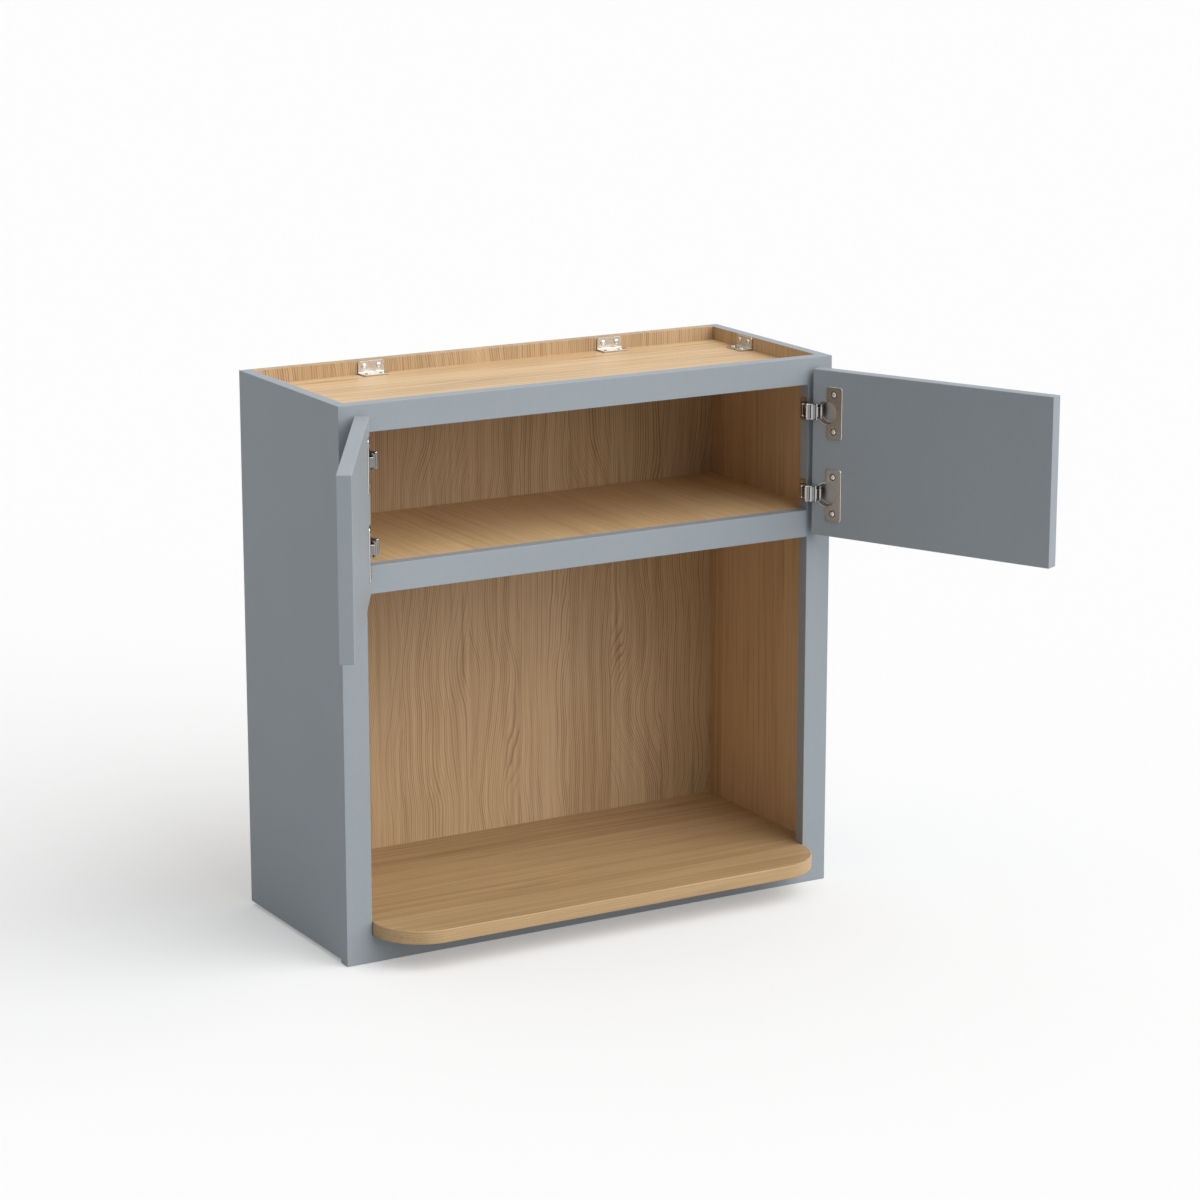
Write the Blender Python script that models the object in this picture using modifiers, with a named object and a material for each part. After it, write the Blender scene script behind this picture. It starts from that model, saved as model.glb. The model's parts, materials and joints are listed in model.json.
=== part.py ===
"""Microwave wall cabinet with a face frame: an upper cupboard with two slab doors on concealed hinges,
and an open niche below it whose shelf reaches out past the frame.

Metres, +Z up. The origin is the middle of the cabinet's rear face, which meets the wall.
+X runs to the right as seen from the front, and +Y points into the wall.
The doors stand open, each turned on its hinge links.
"""

import math

import bmesh
import bpy
from mathutils import Matrix, Vector

# Carcass
WIDTH = 0.762
HEIGHT = 0.762
DEPTH = 0.305
SIDE_THICK = 0.016
BACK_THICK = 0.016
TOP_THICK = 0.016
FLOOR_THICK = 0.016
TOP_RECESS = 0.019
SIDE_LIFT = 0.0055
DADO_DEPTH = 0.005

# Face frame
FRAME_THICK = 0.019
STILE_WIDTH = 0.038
TOP_RAIL_HIGH = 0.038
MIDDLE_RAIL_HIGH = 0.038
BOTTOM_RAIL_HIGH = 0.038
CUPBOARD_OPENING = 0.178

# Microwave shelf
SHELF_THICK = 0.019
SHELF_REACH = 0.076
SHELF_CORNER = 0.074
SHELF_EASE = 0.0012

# Doors, as they hang when shut
DOOR_THICK = 0.019
DOOR_GAP = 0.003
SIDE_REVEAL = 0.006
TOP_REVEAL = 0.014
CENTRE_GAP = 0.003
DOOR_LAP = 0.032
DOOR_EASE = 0.0008

# Hinge cup and its flange, measured on the door
HINGE_INSET = 0.059
CUP_FROM_EDGE = 0.0235
CUP_RADIUS = 0.0172
CUP_WALL = 0.001
CUP_DEPTH = 0.0117
CUP_RIM = 0.0008
FLANGE_FROM_EDGE = 0.023
FLANGE_WIDE = 0.025
FLANGE_HIGH = 0.074
FLANGE_THICK = 0.0012
FLANGE_CORNER = 0.004
CUP_SCREW_FROM_EDGE = 0.0345
CUP_SCREW_SPACING = 0.052

# Hinge leaf on the stile's inner edge, with two lugs and the fixed pivot pin
LEAF_THICK = 0.0015
LEAF_HIGH = 0.032
LEAF_SETBACK = 0.0005
LEAF_DEEP = 0.0175
LEAF_SCREW_SETBACK = 0.0122
LUG_THICK = 0.0025
PIVOT_INSET = 0.006
PIVOT_SETBACK = 0.004
EYE_RADIUS = 0.0029
PIN_RADIUS = 0.0015

# Hinge link, an arched strap between the fixed pivot and the pivot in the cup
CUP_PIVOT_FROM_WALL = 0.0047
CUP_PIVOT_DEPTH = 0.003
STRAP_THICK = 0.0025
STRAP_HIGH = 0.013
ARCH_HIGH = 0.022
ARCH_THICK = 0.0028
NECK_INSET = 0.0037
NECK_DEPTH = 0.0006
ARCH_NEAR_OUTSET = 0.001
ARCH_NEAR_DEPTH = 0.0062
ARCH_FAR_OFFSET = 0.0045
ARCH_FAR_DEPTH = 0.0082

# Angles in degrees: the whole swing of a door and of its links, and how far each door stands open
DOOR_SWING = 120.0
LINK_SWING = 40.0
LEFT_OPENING = 119.7
RIGHT_OPENING = 115.2

# Corner brackets that hold the top panel
BRACKET_WIDE = 0.040
BRACKET_FOOT = 0.020
BRACKET_THICK = 0.002
BRACKET_BEND = 0.003
BRACKET_TOP_GAP = 0.0006
BRACKET_SPREAD = 0.380
SIDE_BRACKET_FROM_WALL = 0.105
BRACKET_SCREW_SPACING = 0.022
LEG_SCREW_UP = 0.0112
FOOT_SCREW_OUT = 0.0127

# Screws
SHANK_RADIUS = 0.00175
SHANK_LENGTH = 0.012
SHANK_TIP = 0.003
HEAD_RADIUS = 0.0036
CROWN_RADIUS = 0.0022
CROWN_SHARE = 0.86
RIM_SHARE = 0.3
PAN_HEAD_HIGH = 0.0018
LOW_HEAD_HIGH = 0.0007

# Clearances: in glued joints, where metal seats, and past a surface that is cut
JOINT_GAP = 0.0001
SEAT_GAP = 0.0003
OVERCUT = 0.002

# Fineness of round shapes
SCREW_STEPS = 10
EYE_STEPS = 16
CUP_STEPS = 30
CORNER_STEPS = 12
SMALL_CORNER_STEPS = 3
EASE_STEPS = 2
SHARP_ANGLE = 50.0
WELD_DISTANCE = 1e-6
TURNED_MERGE = 1e-5

# Levels and planes that follow from the sizes
TOP = HEIGHT / 2
BOTTOM = -HEIGHT / 2
FACE = -DEPTH
FRAME_BACK = FACE + FRAME_THICK
BACK_FRONT = -BACK_THICK
INNER_SIDE = WIDTH / 2 - SIDE_THICK
INNER_STILE = WIDTH / 2 - STILE_WIDTH
TOP_PANEL_TOP = TOP - TOP_RECESS
MIDDLE_RAIL_TOP = TOP - TOP_RAIL_HIGH - CUPBOARD_OPENING
SHELF_BOTTOM = BOTTOM + BOTTOM_RAIL_HIGH + JOINT_GAP
SHELF_TOP = SHELF_BOTTOM + SHELF_THICK
DOOR_TOP = TOP - TOP_REVEAL
DOOR_BOTTOM = MIDDLE_RAIL_TOP - DOOR_LAP
DOOR_INNER = FACE - DOOR_GAP
DOOR_OUTER = DOOR_INNER - DOOR_THICK
SWING_SHARE = LINK_SWING / (DOOR_SWING + LINK_SWING)
FLANGE_FACE = DOOR_INNER + SEAT_GAP + FLANGE_THICK
LEAF_FACE_INSET = STILE_WIDTH + SEAT_GAP + LEAF_THICK
BORE_RADIUS = SHANK_RADIUS + SEAT_GAP
CUP_BORE_RADIUS = CUP_RADIUS + SEAT_GAP
CUP_INNER_RADIUS = CUP_RADIUS - CUP_WALL
DOOR_PIVOT_FROM_EDGE = CUP_FROM_EDGE - CUP_INNER_RADIUS + CUP_PIVOT_FROM_WALL


def clear_scene():
    for old in list(bpy.data.objects):
        bpy.data.objects.remove(old, do_unlink=True)


def new_collection(name, rendered=True):
    collection = bpy.data.collections.new(name)
    collection.hide_render = not rendered
    bpy.context.scene.collection.children.link(collection)
    return collection


def new_material(name, colour, roughness, metallic):
    material = bpy.data.materials.new(name)
    material.use_nodes = True
    shader = material.node_tree.nodes["Principled BSDF"]
    shader.inputs["Base Color"].default_value = (*colour, 1.0)
    shader.inputs["Roughness"].default_value = roughness
    shader.inputs["Metallic"].default_value = metallic
    return material


clear_scene()
PARTS = new_collection("microwave_wall_cabinet")
CUTTERS = new_collection("cutters", rendered=False)
PAINT = new_material("blue_grey_paint", (0.33, 0.37, 0.41), 0.45, 0.0)
OAK = new_material("oak_veneer", (0.53, 0.36, 0.19), 0.5, 0.0)
NICKEL = new_material("nickel_plate", (0.62, 0.60, 0.57), 0.25, 1.0)
ZINC = new_material("zinc_screw", (0.72, 0.72, 0.71), 0.3, 1.0)


def add_part(name, mesh, material, parent=None, location=(0, 0, 0)):
    part = bpy.data.objects.new(name, mesh)
    PARTS.objects.link(part)
    part.parent = parent
    part.location = location
    if not mesh.materials:
        mesh.materials.append(material)
    return part


def mesh_from(name, shape):
    mesh = bpy.data.meshes.new(name)
    shape.to_mesh(mesh)
    shape.free()
    return mesh


def box_mesh(name, low, high):
    low, high = Vector(low), Vector(high)
    shape = bmesh.new()
    place = Matrix.Translation((low + high) / 2) @ Matrix.Diagonal((*(high - low), 1.0))
    bmesh.ops.create_cube(shape, size=1.0, matrix=place)
    return mesh_from(name, shape)


def turned_to(axis):
    """The rotation that takes +Z to the axis."""
    return Vector((0, 0, 1)).rotation_difference(Vector(axis)).to_matrix().to_4x4()


def add_rods(shape, rods, steps):
    """Adds a round bar for each (start, axis, length, radius)."""
    for start, axis, length, radius in rods:
        middle = Vector(start) + Vector(axis) * length / 2
        bmesh.ops.create_cone(
            shape,
            cap_ends=True,
            segments=steps,
            radius1=radius,
            radius2=radius,
            depth=length,
            matrix=Matrix.Translation(middle) @ turned_to(axis),
        )


def shade_round(mesh):
    mesh.shade_smooth()
    mesh.set_sharp_from_angle(angle=math.radians(SHARP_ANGLE))


def rods_mesh(name, rods, steps):
    shape = bmesh.new()
    add_rods(shape, rods, steps)
    mesh = mesh_from(name, shape)
    shade_round(mesh)
    return mesh


def outline_mesh(name, outlines, low, high):
    """A flat sheet between two levels, from closed outlines: the first is its edge and others are holes."""
    curve = bpy.data.curves.new(name, "CURVE")
    curve.dimensions = "2D"
    curve.fill_mode = "BOTH"
    curve.extrude = (high - low) / 2
    for outline in outlines:
        spline = curve.splines.new("POLY")
        spline.points.add(len(outline) - 1)
        for point, (x, y) in zip(spline.points, outline):
            point.co = (x, y, 0.0, 1.0)
        spline.use_cyclic_u = True
    drawn = bpy.data.objects.new(name + "_outline", curve)
    bpy.context.scene.collection.objects.link(drawn)
    graph = bpy.context.evaluated_depsgraph_get()
    mesh = bpy.data.meshes.new_from_object(drawn.evaluated_get(graph))
    bpy.data.objects.remove(drawn, do_unlink=True)
    bpy.data.curves.remove(curve)
    shape = bmesh.new()
    shape.from_mesh(mesh)
    bmesh.ops.remove_doubles(shape, verts=shape.verts, dist=WELD_DISTANCE)
    bmesh.ops.translate(shape, verts=shape.verts, vec=(0, 0, (low + high) / 2))
    bmesh.ops.recalc_face_normals(shape, faces=shape.faces)
    shape.to_mesh(mesh)
    shape.free()
    shade_round(mesh)
    return mesh


def arc(centre, radius, first, last, steps):
    """Points on a circle between two angles in degrees, ends included."""
    turns = [math.radians(first + (last - first) * i / steps) for i in range(steps + 1)]
    return [(centre[0] + radius * math.cos(a), centre[1] + radius * math.sin(a)) for a in turns]


def boolean(part, mesh, operation):
    """Cuts the mesh from the part, or joins it on, in the part's own space."""
    cutter = bpy.data.objects.new(f"{part.name}_{operation.lower()}_{len(part.modifiers)}", mesh)
    CUTTERS.objects.link(cutter)
    cutter.parent = part
    cutter.hide_render = True
    cutter.display_type = "WIRE"
    modifier = part.modifiers.new(operation.title(), "BOOLEAN")
    modifier.operation = operation
    modifier.object = cutter
    modifier.solver = "EXACT"


def drill(part, holes, steps=SCREW_STEPS):
    """Cuts blind round holes, each (mouth, axis out of the mouth, depth, radius)."""
    rods = []
    for mouth, axis, depth, radius in holes:
        outside = Vector(mouth) + Vector(axis) * OVERCUT
        rods.append((outside, -Vector(axis), depth + OVERCUT, radius))
    boolean(part, rods_mesh(part.name + "_bores", rods, steps), "DIFFERENCE")


def ease(part, width):
    modifier = part.modifiers.new("Eased edges", "BEVEL")
    modifier.width = width
    modifier.segments = EASE_STEPS
    modifier.limit_method = "ANGLE"
    modifier.angle_limit = math.radians(SHARP_ANGLE)


def screw_profile(name, head_high):
    """Half of a screw's section, from the head's crown down to the point, with the seat at zero."""
    points = [
        (0.0, head_high),
        (CROWN_RADIUS, head_high * CROWN_SHARE),
        (HEAD_RADIUS, head_high * RIM_SHARE),
        (HEAD_RADIUS, 0.0),
        (SHANK_RADIUS, 0.0),
        (SHANK_RADIUS, SHANK_TIP - SHANK_LENGTH),
        (0.0, -SHANK_LENGTH),
    ]
    mesh = bpy.data.meshes.new(name)
    shape = bmesh.new()
    corners = [shape.verts.new((x, 0.0, z)) for x, z in points]
    for upper, lower in zip(corners, corners[1:]):
        shape.edges.new((upper, lower))
    shape.to_mesh(mesh)
    shape.free()
    return mesh


PAN_SCREW = screw_profile("pan_screw", PAN_HEAD_HIGH)
LOW_SCREW = screw_profile("low_screw", LOW_HEAD_HIGH)


def add_screw(name, profile, seat, axis, parent=None):
    """A wood screw whose head sits at the seat and looks along the axis."""
    screw = add_part(name, profile, ZINC, parent)
    screw.matrix_basis = Matrix.Translation(Vector(seat) + Vector(axis) * SEAT_GAP) @ turned_to(axis)
    turning = screw.modifiers.new("Turned", "SCREW")
    turning.axis = "Z"
    turning.steps = SCREW_STEPS
    turning.render_steps = SCREW_STEPS
    turning.use_merge_vertices = True
    turning.merge_threshold = TURNED_MERGE


def pilot_depth(plate_thick):
    """How deep a screw goes into the wood under a plate, with room past its point."""
    return SHANK_LENGTH - plate_thick + SEAT_GAP


def build_face_frame():
    rail_half = INNER_STILE - JOINT_GAP
    levels = {
        "top_rail": (TOP - TOP_RAIL_HIGH, TOP),
        "middle_rail": (MIDDLE_RAIL_TOP - MIDDLE_RAIL_HIGH, MIDDLE_RAIL_TOP),
        "bottom_rail": (BOTTOM, BOTTOM + BOTTOM_RAIL_HIGH),
    }
    for name, (low, high) in levels.items():
        add_part(name, box_mesh(name, (-rail_half, FACE, low), (rail_half, FRAME_BACK, high)), PAINT)
    for name, side in (("left_stile", -1), ("right_stile", 1)):
        edges = sorted((side * INNER_STILE, side * WIDTH / 2))
        stile = add_part(name, box_mesh(name, (edges[0], FACE, BOTTOM), (edges[1], FRAME_BACK, TOP)), PAINT)
        mouths = [(side * INNER_STILE, FACE + LEAF_SCREW_SETBACK, level) for level in hinge_levels()]
        depth = pilot_depth(LEAF_THICK)
        drill(stile, [(mouth, (-side, 0, 0), depth, BORE_RADIUS) for mouth in mouths])


def build_carcass():
    front = FRAME_BACK + JOINT_GAP
    base = BOTTOM + SIDE_LIFT
    inner = INNER_SIDE - JOINT_GAP
    for name, side in (("left_side_panel", -1), ("right_side_panel", 1)):
        faces = sorted((side * INNER_SIDE, side * WIDTH / 2))
        panel = add_part(name, box_mesh(name, (faces[0], front, base), (faces[1], 0, TOP)), PAINT)
        for low, high in ((MIDDLE_RAIL_TOP - FLOOR_THICK, MIDDLE_RAIL_TOP), (SHELF_BOTTOM, SHELF_TOP)):
            depths = sorted((side * (INNER_SIDE - OVERCUT), side * (INNER_SIDE + DADO_DEPTH)))
            groove = box_mesh(
                "groove",
                (depths[0], front - OVERCUT, low - JOINT_GAP),
                (depths[1], BACK_FRONT, high + JOINT_GAP),
            )
            boolean(panel, groove, "DIFFERENCE")
        drill_bracket_holes(panel, side_bracket_place(side))

    back = add_part("back_panel", box_mesh("back_panel", (-inner, BACK_FRONT, base), (inner, 0, TOP)), OAK)
    for place in back_bracket_places():
        drill_bracket_holes(back, place)

    rear = BACK_FRONT - JOINT_GAP
    low_corner = (-inner, front, TOP_PANEL_TOP - TOP_THICK)
    top = add_part("top_panel", box_mesh("top_panel", low_corner, (inner, rear, TOP_PANEL_TOP)), OAK)
    for place in all_bracket_places():
        drill_bracket_holes(top, place, in_foot=True)

    tongue = INNER_SIDE + DADO_DEPTH - JOINT_GAP
    low_corner = (-tongue, front, MIDDLE_RAIL_TOP - FLOOR_THICK)
    add_part("cupboard_floor", box_mesh("cupboard_floor", low_corner, (tongue, rear, MIDDLE_RAIL_TOP)), OAK)


def ease_front(mesh, width):
    """Rounds the level edges that stand in front of the face frame."""
    shape = bmesh.new()
    shape.from_mesh(mesh)
    rims = []
    for edge in shape.edges:
        ends = [corner.co for corner in edge.verts]
        sharp = edge.calc_face_angle(0) > math.radians(SHARP_ANGLE)
        if sharp and ends[0].z == ends[1].z and max(end.y for end in ends) < FACE:
            rims.append(edge)
    bmesh.ops.bevel(
        shape, geom=rims, offset=width, segments=EASE_STEPS, profile=0.5, affect="EDGES", material=-1
    )
    shape.to_mesh(mesh)
    shape.free()


def build_microwave_shelf():
    """One board: wide behind the frame, as wide as the opening in front of it, with round front corners."""
    rear = BACK_FRONT - JOINT_GAP
    notch = FRAME_BACK + JOINT_GAP
    front = FACE - SHELF_REACH
    wide = INNER_SIDE + DADO_DEPTH - JOINT_GAP
    narrow = INNER_STILE - JOINT_GAP
    round_middle = (narrow - SHELF_CORNER, front + SHELF_CORNER)
    right = [(wide, rear), (wide, notch), (narrow, notch)]
    right += reversed(arc(round_middle, SHELF_CORNER, -90, 0, CORNER_STEPS))
    left = [(-x, y) for x, y in reversed(right)]
    mesh = outline_mesh("microwave_shelf", [right + left], SHELF_BOTTOM, SHELF_TOP)
    ease_front(mesh, SHELF_EASE)
    add_part("microwave_shelf", mesh, OAK)


def side_bracket_place(side):
    """Corner where a side bracket meets the side, and the way that it faces."""
    return ((side * INNER_SIDE, -SIDE_BRACKET_FROM_WALL, TOP_PANEL_TOP), (-side, 0, 0))


def back_bracket_places():
    return [((side * BRACKET_SPREAD / 2, BACK_FRONT, TOP_PANEL_TOP), (0, -1, 0)) for side in (-1, 1)]


def all_bracket_places():
    return back_bracket_places() + [side_bracket_place(-1), side_bracket_place(1)]


def bracket_seats(place, in_foot):
    """Screw seats in one leg of a bracket, and the axis that their heads look along."""
    corner, away = Vector(place[0]), Vector(place[1])
    up = Vector((0, 0, 1))
    along = up.cross(away)
    stand_off = SEAT_GAP + BRACKET_THICK
    if in_foot:
        seat, axis = corner + away * FOOT_SCREW_OUT + up * stand_off, up
    else:
        seat, axis = corner + away * stand_off + up * LEG_SCREW_UP, away
    return [seat + along * half * BRACKET_SCREW_SPACING for half in (-0.5, 0.5)], axis


def drill_bracket_holes(board, place, in_foot=False):
    seats, axis = bracket_seats(place, in_foot)
    mouths = [seat - axis * (SEAT_GAP + BRACKET_THICK) for seat in seats]
    drill(board, [(mouth, axis, pilot_depth(BRACKET_THICK), BORE_RADIUS) for mouth in mouths])


def build_bracket(name, place):
    """An angle of flat strip: one leg on the board behind it, and its foot on the top panel."""
    corner, away = Vector(place[0]), Vector(place[1])
    leg_high = TOP - BRACKET_TOP_GAP - TOP_PANEL_TOP - SEAT_GAP
    section = [
        (BRACKET_FOOT, 0),
        (BRACKET_FOOT, BRACKET_THICK),
        (BRACKET_THICK, BRACKET_THICK),
        (BRACKET_THICK, leg_high),
        (0, leg_high),
    ]
    section += arc((BRACKET_BEND, BRACKET_BEND), BRACKET_BEND, 180, 270, SMALL_CORNER_STEPS)
    mesh = outline_mesh(name, [section], -BRACKET_WIDE / 2, BRACKET_WIDE / 2)
    upright = Matrix.Rotation(math.radians(90), 4, "X")
    heading = Matrix.Rotation(math.atan2(away.y, away.x), 4, "Z")
    seat = corner + away * SEAT_GAP + Vector((0, 0, SEAT_GAP))
    mesh.transform(Matrix.Translation(seat) @ heading @ upright)
    bracket = add_part(name, mesh, NICKEL)
    number = 1
    for in_foot in (False, True):
        seats, axis = bracket_seats(place, in_foot)
        drill(bracket, [(at, axis, BRACKET_THICK + OVERCUT, BORE_RADIUS) for at in seats])
        for at in seats:
            add_screw(f"{name}_screw_{number}", PAN_SCREW, at, axis)
            number += 1


def hinge_levels():
    """Heights of the lower and the upper hinge."""
    return DOOR_BOTTOM + HINGE_INSET, DOOR_TOP - HINGE_INSET


def plan(side, inset, out):
    """x and y of a point so far in from the cabinet's side and in front of the frame's face."""
    return side * (WIDTH / 2 - inset), FACE - out


def strap_outline(points, thick):
    """The edge of a bent strap of even thickness along a line of points, with mitred bends."""
    line = [Vector(point) for point in points]
    steps = [(after - before).normalized() for before, after in zip(line, line[1:])]
    edges = []
    for i, point in enumerate(line):
        before, after = steps[max(i - 1, 0)], steps[min(i, len(steps) - 1)]
        across = Vector((-before.y, before.x)) + Vector((-after.y, after.x))
        edges.append(across * thick / across.length_squared)
    left = [tuple(point + edge) for point, edge in zip(line, edges)]
    right = [tuple(point - edge) for point, edge in zip(line, edges)]
    return left + right[::-1]


class Hinge:
    """One concealed hinge in the shut position: its two pivots and the seats of its pieces."""

    def __init__(self, side, level):
        self.side = side
        self.level = level
        self.fixed_pivot = plan(side, STILE_WIDTH + PIVOT_INSET, -PIVOT_SETBACK)
        self.door_pivot = self.on_door(DOOR_PIVOT_FROM_EDGE, CUP_PIVOT_DEPTH)
        self.cup_centre = self.on_door(CUP_FROM_EDGE, 0)

    def on_door(self, from_edge, depth):
        return plan(self.side, SIDE_REVEAL + from_edge, DOOR_GAP + depth)

    def link_line(self):
        """Centre line of the link's strap, from the fixed pivot round into the cup."""
        neck = plan(self.side, STILE_WIDTH + NECK_INSET, DOOR_GAP + NECK_DEPTH)
        near = plan(self.side, STILE_WIDTH - ARCH_NEAR_OUTSET, DOOR_GAP + ARCH_NEAR_DEPTH)
        far = self.on_door(DOOR_PIVOT_FROM_EDGE + ARCH_FAR_OFFSET, ARCH_FAR_DEPTH)
        return [self.fixed_pivot, neck, near, far, self.door_pivot]

    def cup_screw_seats(self):
        x = self.on_door(CUP_SCREW_FROM_EDGE, 0)[0]
        half = CUP_SCREW_SPACING / 2
        return [(x, FLANGE_FACE, self.level + offset) for offset in (-half, half)]


def shifted(mesh, origin):
    """Moves the mesh so that this point of it becomes its origin."""
    mesh.transform(Matrix.Translation(-Vector(origin)))
    return mesh


def shifted_holes(holes, origin):
    return [(Vector(mouth) - origin, axis, depth, radius) for mouth, axis, depth, radius in holes]


def build_leaf(name, hinge):
    """The leaf on the stile's edge, with a lug above and below the link and the pin between them."""
    side, level = hinge.side, hinge.level
    back = FACE + LEAF_SETBACK + LEAF_DEEP
    faces = sorted((plan(side, STILE_WIDTH + SEAT_GAP, 0)[0], plan(side, LEAF_FACE_INSET, 0)[0]))
    x, y = hinge.fixed_pivot
    origin = Vector((x, y, level))
    low = (faces[0], FACE + LEAF_SETBACK, level - LEAF_HIGH / 2)
    plate = box_mesh(name, low, (faces[1], back, level + LEAF_HIGH / 2))
    leaf = add_part(name, shifted(plate, origin), NICKEL, location=origin)
    root = plan(side, STILE_WIDTH + SEAT_GAP + LEAF_THICK / 2, 0)[0]
    lug_edge = [(root, y - EYE_RADIUS), (root, y + EYE_RADIUS)]
    turns = (90, -90) if side < 0 else (90, 270)
    lug_edge += arc((x, y), EYE_RADIUS, *turns, EYE_STEPS // 2)
    lug_from = STRAP_HIGH / 2 + SEAT_GAP
    for sign in (-1, 1):
        levels = sorted((level + sign * lug_from, level + sign * (lug_from + LUG_THICK)))
        boolean(leaf, shifted(outline_mesh("lug", [lug_edge], *levels), origin), "UNION")
    pin_half = lug_from + LUG_THICK / 2
    pin = ((x, y, level - pin_half), (0, 0, 1), 2 * pin_half, PIN_RADIUS)
    boolean(leaf, shifted(rods_mesh("pin", [pin], EYE_STEPS), origin), "UNION")
    seat = (plan(side, LEAF_FACE_INSET, 0)[0], FACE + LEAF_SCREW_SETBACK, level)
    axis = (-side, 0, 0)
    drill(leaf, shifted_holes([(seat, axis, LEAF_THICK + OVERCUT, BORE_RADIUS)], origin))
    add_screw(name + "_screw", PAN_SCREW, seat, axis)


def build_link(name, hinge, axis_point, parent):
    """The arched strap with a round eye on each pivot, wider over the middle of its arch."""
    level = hinge.level
    line = hinge.link_line()
    origin = Vector((*axis_point, level))
    half = STRAP_HIGH / 2
    strap = outline_mesh(name, [strap_outline(line, STRAP_THICK)], level - half, level + half)
    link = add_part(name, shifted(strap, origin), NICKEL, parent, (0, 0, level))
    arch = outline_mesh(
        "arch", [strap_outline(line[2:4], ARCH_THICK)], level - ARCH_HIGH / 2, level + ARCH_HIGH / 2
    )
    boolean(link, shifted(arch, origin), "UNION")
    for pivot in (hinge.fixed_pivot, hinge.door_pivot):
        start = (*pivot, level - half)
        eye = rods_mesh("eye", [(start, (0, 0, 1), STRAP_HIGH, EYE_RADIUS)], EYE_STEPS)
        boolean(link, shifted(eye, origin), "UNION")
    for pivot in (hinge.fixed_pivot, hinge.door_pivot):
        start = (*pivot, level - half - OVERCUT)
        length = STRAP_HIGH + 2 * OVERCUT
        bore = rods_mesh("bore", [(start, (0, 0, 1), length, PIN_RADIUS + SEAT_GAP)], EYE_STEPS)
        boolean(link, shifted(bore, origin), "DIFFERENCE")


def flange_outline():
    """The flange seen square on: x from the door's hinge edge, y from the hinge's middle."""
    corner = FLANGE_CORNER
    near, far = FLANGE_FROM_EDGE, FLANGE_FROM_EDGE + FLANGE_WIDE
    top = FLANGE_HIGH / 2
    points = arc((far - corner, top - corner), corner, 0, 90, SMALL_CORNER_STEPS)
    points += arc((near + corner, top - corner), corner, 90, 180, SMALL_CORNER_STEPS)
    points += arc((near + corner, corner - top), corner, 180, 270, SMALL_CORNER_STEPS)
    return points + arc((far - corner, corner - top), corner, 270, 360, SMALL_CORNER_STEPS)


def build_cup(name, hinge, axis_point, parent):
    """The cup let into the door, its flange on the door's inner face, and the pin across it."""
    side, level = hinge.side, hinge.level
    origin = Vector((*axis_point, level))
    x = hinge.cup_centre[0]
    bottom = (x, DOOR_INNER - CUP_DEPTH, level)
    rod = (bottom, (0, 1, 0), CUP_DEPTH + CUP_RIM, CUP_RADIUS)
    cup = add_part(name, shifted(rods_mesh(name, [rod], CUP_STEPS), origin), NICKEL, parent, (0, 0, level))
    mirrored = [(side * (WIDTH / 2 - SIDE_REVEAL - u), v) for u, v in flange_outline()]
    flange = outline_mesh("flange", [mirrored], 0, FLANGE_THICK)
    standing = Matrix.Rotation(math.radians(90), 4, "X")
    flange.transform(Matrix.Translation((0, FLANGE_FACE, level)) @ standing)
    boolean(cup, shifted(flange, origin), "UNION")
    hollow = (x, FLANGE_FACE, level)
    drill_depth = FLANGE_FACE - DOOR_INNER + CUP_DEPTH - CUP_WALL
    hole = shifted_holes([(hollow, (0, 1, 0), drill_depth, CUP_INNER_RADIUS)], origin)
    drill(cup, hole, CUP_STEPS)
    offset = CUP_FROM_EDGE - DOOR_PIVOT_FROM_EDGE + PIN_RADIUS
    pin_half = math.sqrt((CUP_RADIUS - CUP_WALL / 2) ** 2 - offset**2)
    pin = ((*hinge.door_pivot, level - pin_half), (0, 0, 1), 2 * pin_half, PIN_RADIUS)
    boolean(cup, shifted(rods_mesh("pin", [pin], EYE_STEPS), origin), "UNION")
    axis = (0, 1, 0)
    holes = [(seat, axis, FLANGE_THICK + SEAT_GAP / 2, BORE_RADIUS) for seat in hinge.cup_screw_seats()]
    drill(cup, shifted_holes(holes, origin))
    for number, seat in enumerate(hinge.cup_screw_seats(), 1):
        place = Vector(seat) - Vector((*axis_point, 0))
        add_screw(f"{name}_screw_{number}", LOW_SCREW, place, axis, parent)


def build_door(name, hinges, axis_point, parent):
    """A slab with a bore for each hinge cup and a pilot hole for each of its screws."""
    side = hinges[0].side
    origin = Vector((*axis_point, 0))
    edges = sorted((side * (WIDTH / 2 - SIDE_REVEAL), side * CENTRE_GAP / 2))
    mesh = box_mesh(name, (edges[0], DOOR_OUTER, DOOR_BOTTOM), (edges[1], DOOR_INNER, DOOR_TOP))
    door = add_part(name, shifted(mesh, origin), PAINT, parent)
    ease(door, DOOR_EASE)
    axis = (0, 1, 0)
    cups, pilots = [], []
    for hinge in hinges:
        mouth = (hinge.cup_centre[0], DOOR_INNER, hinge.level)
        cups.append((mouth, axis, CUP_DEPTH + SEAT_GAP, CUP_BORE_RADIUS))
        for seat in hinge.cup_screw_seats():
            mouth = (seat[0], DOOR_INNER, seat[2])
            pilots.append((mouth, axis, pilot_depth(FLANGE_THICK), BORE_RADIUS))
    drill(door, shifted_holes(cups, origin), CUP_STEPS)
    drill(door, shifted_holes(pilots, origin))


def add_axis(name, point, parent, turn):
    """An empty on a joint's axis, turned by so many degrees."""
    axis = bpy.data.objects.new(name, None)
    PARTS.objects.link(axis)
    axis.parent = parent
    axis.location = (*point, 0)
    axis.rotation_euler.z = math.radians(turn)
    return axis


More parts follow.
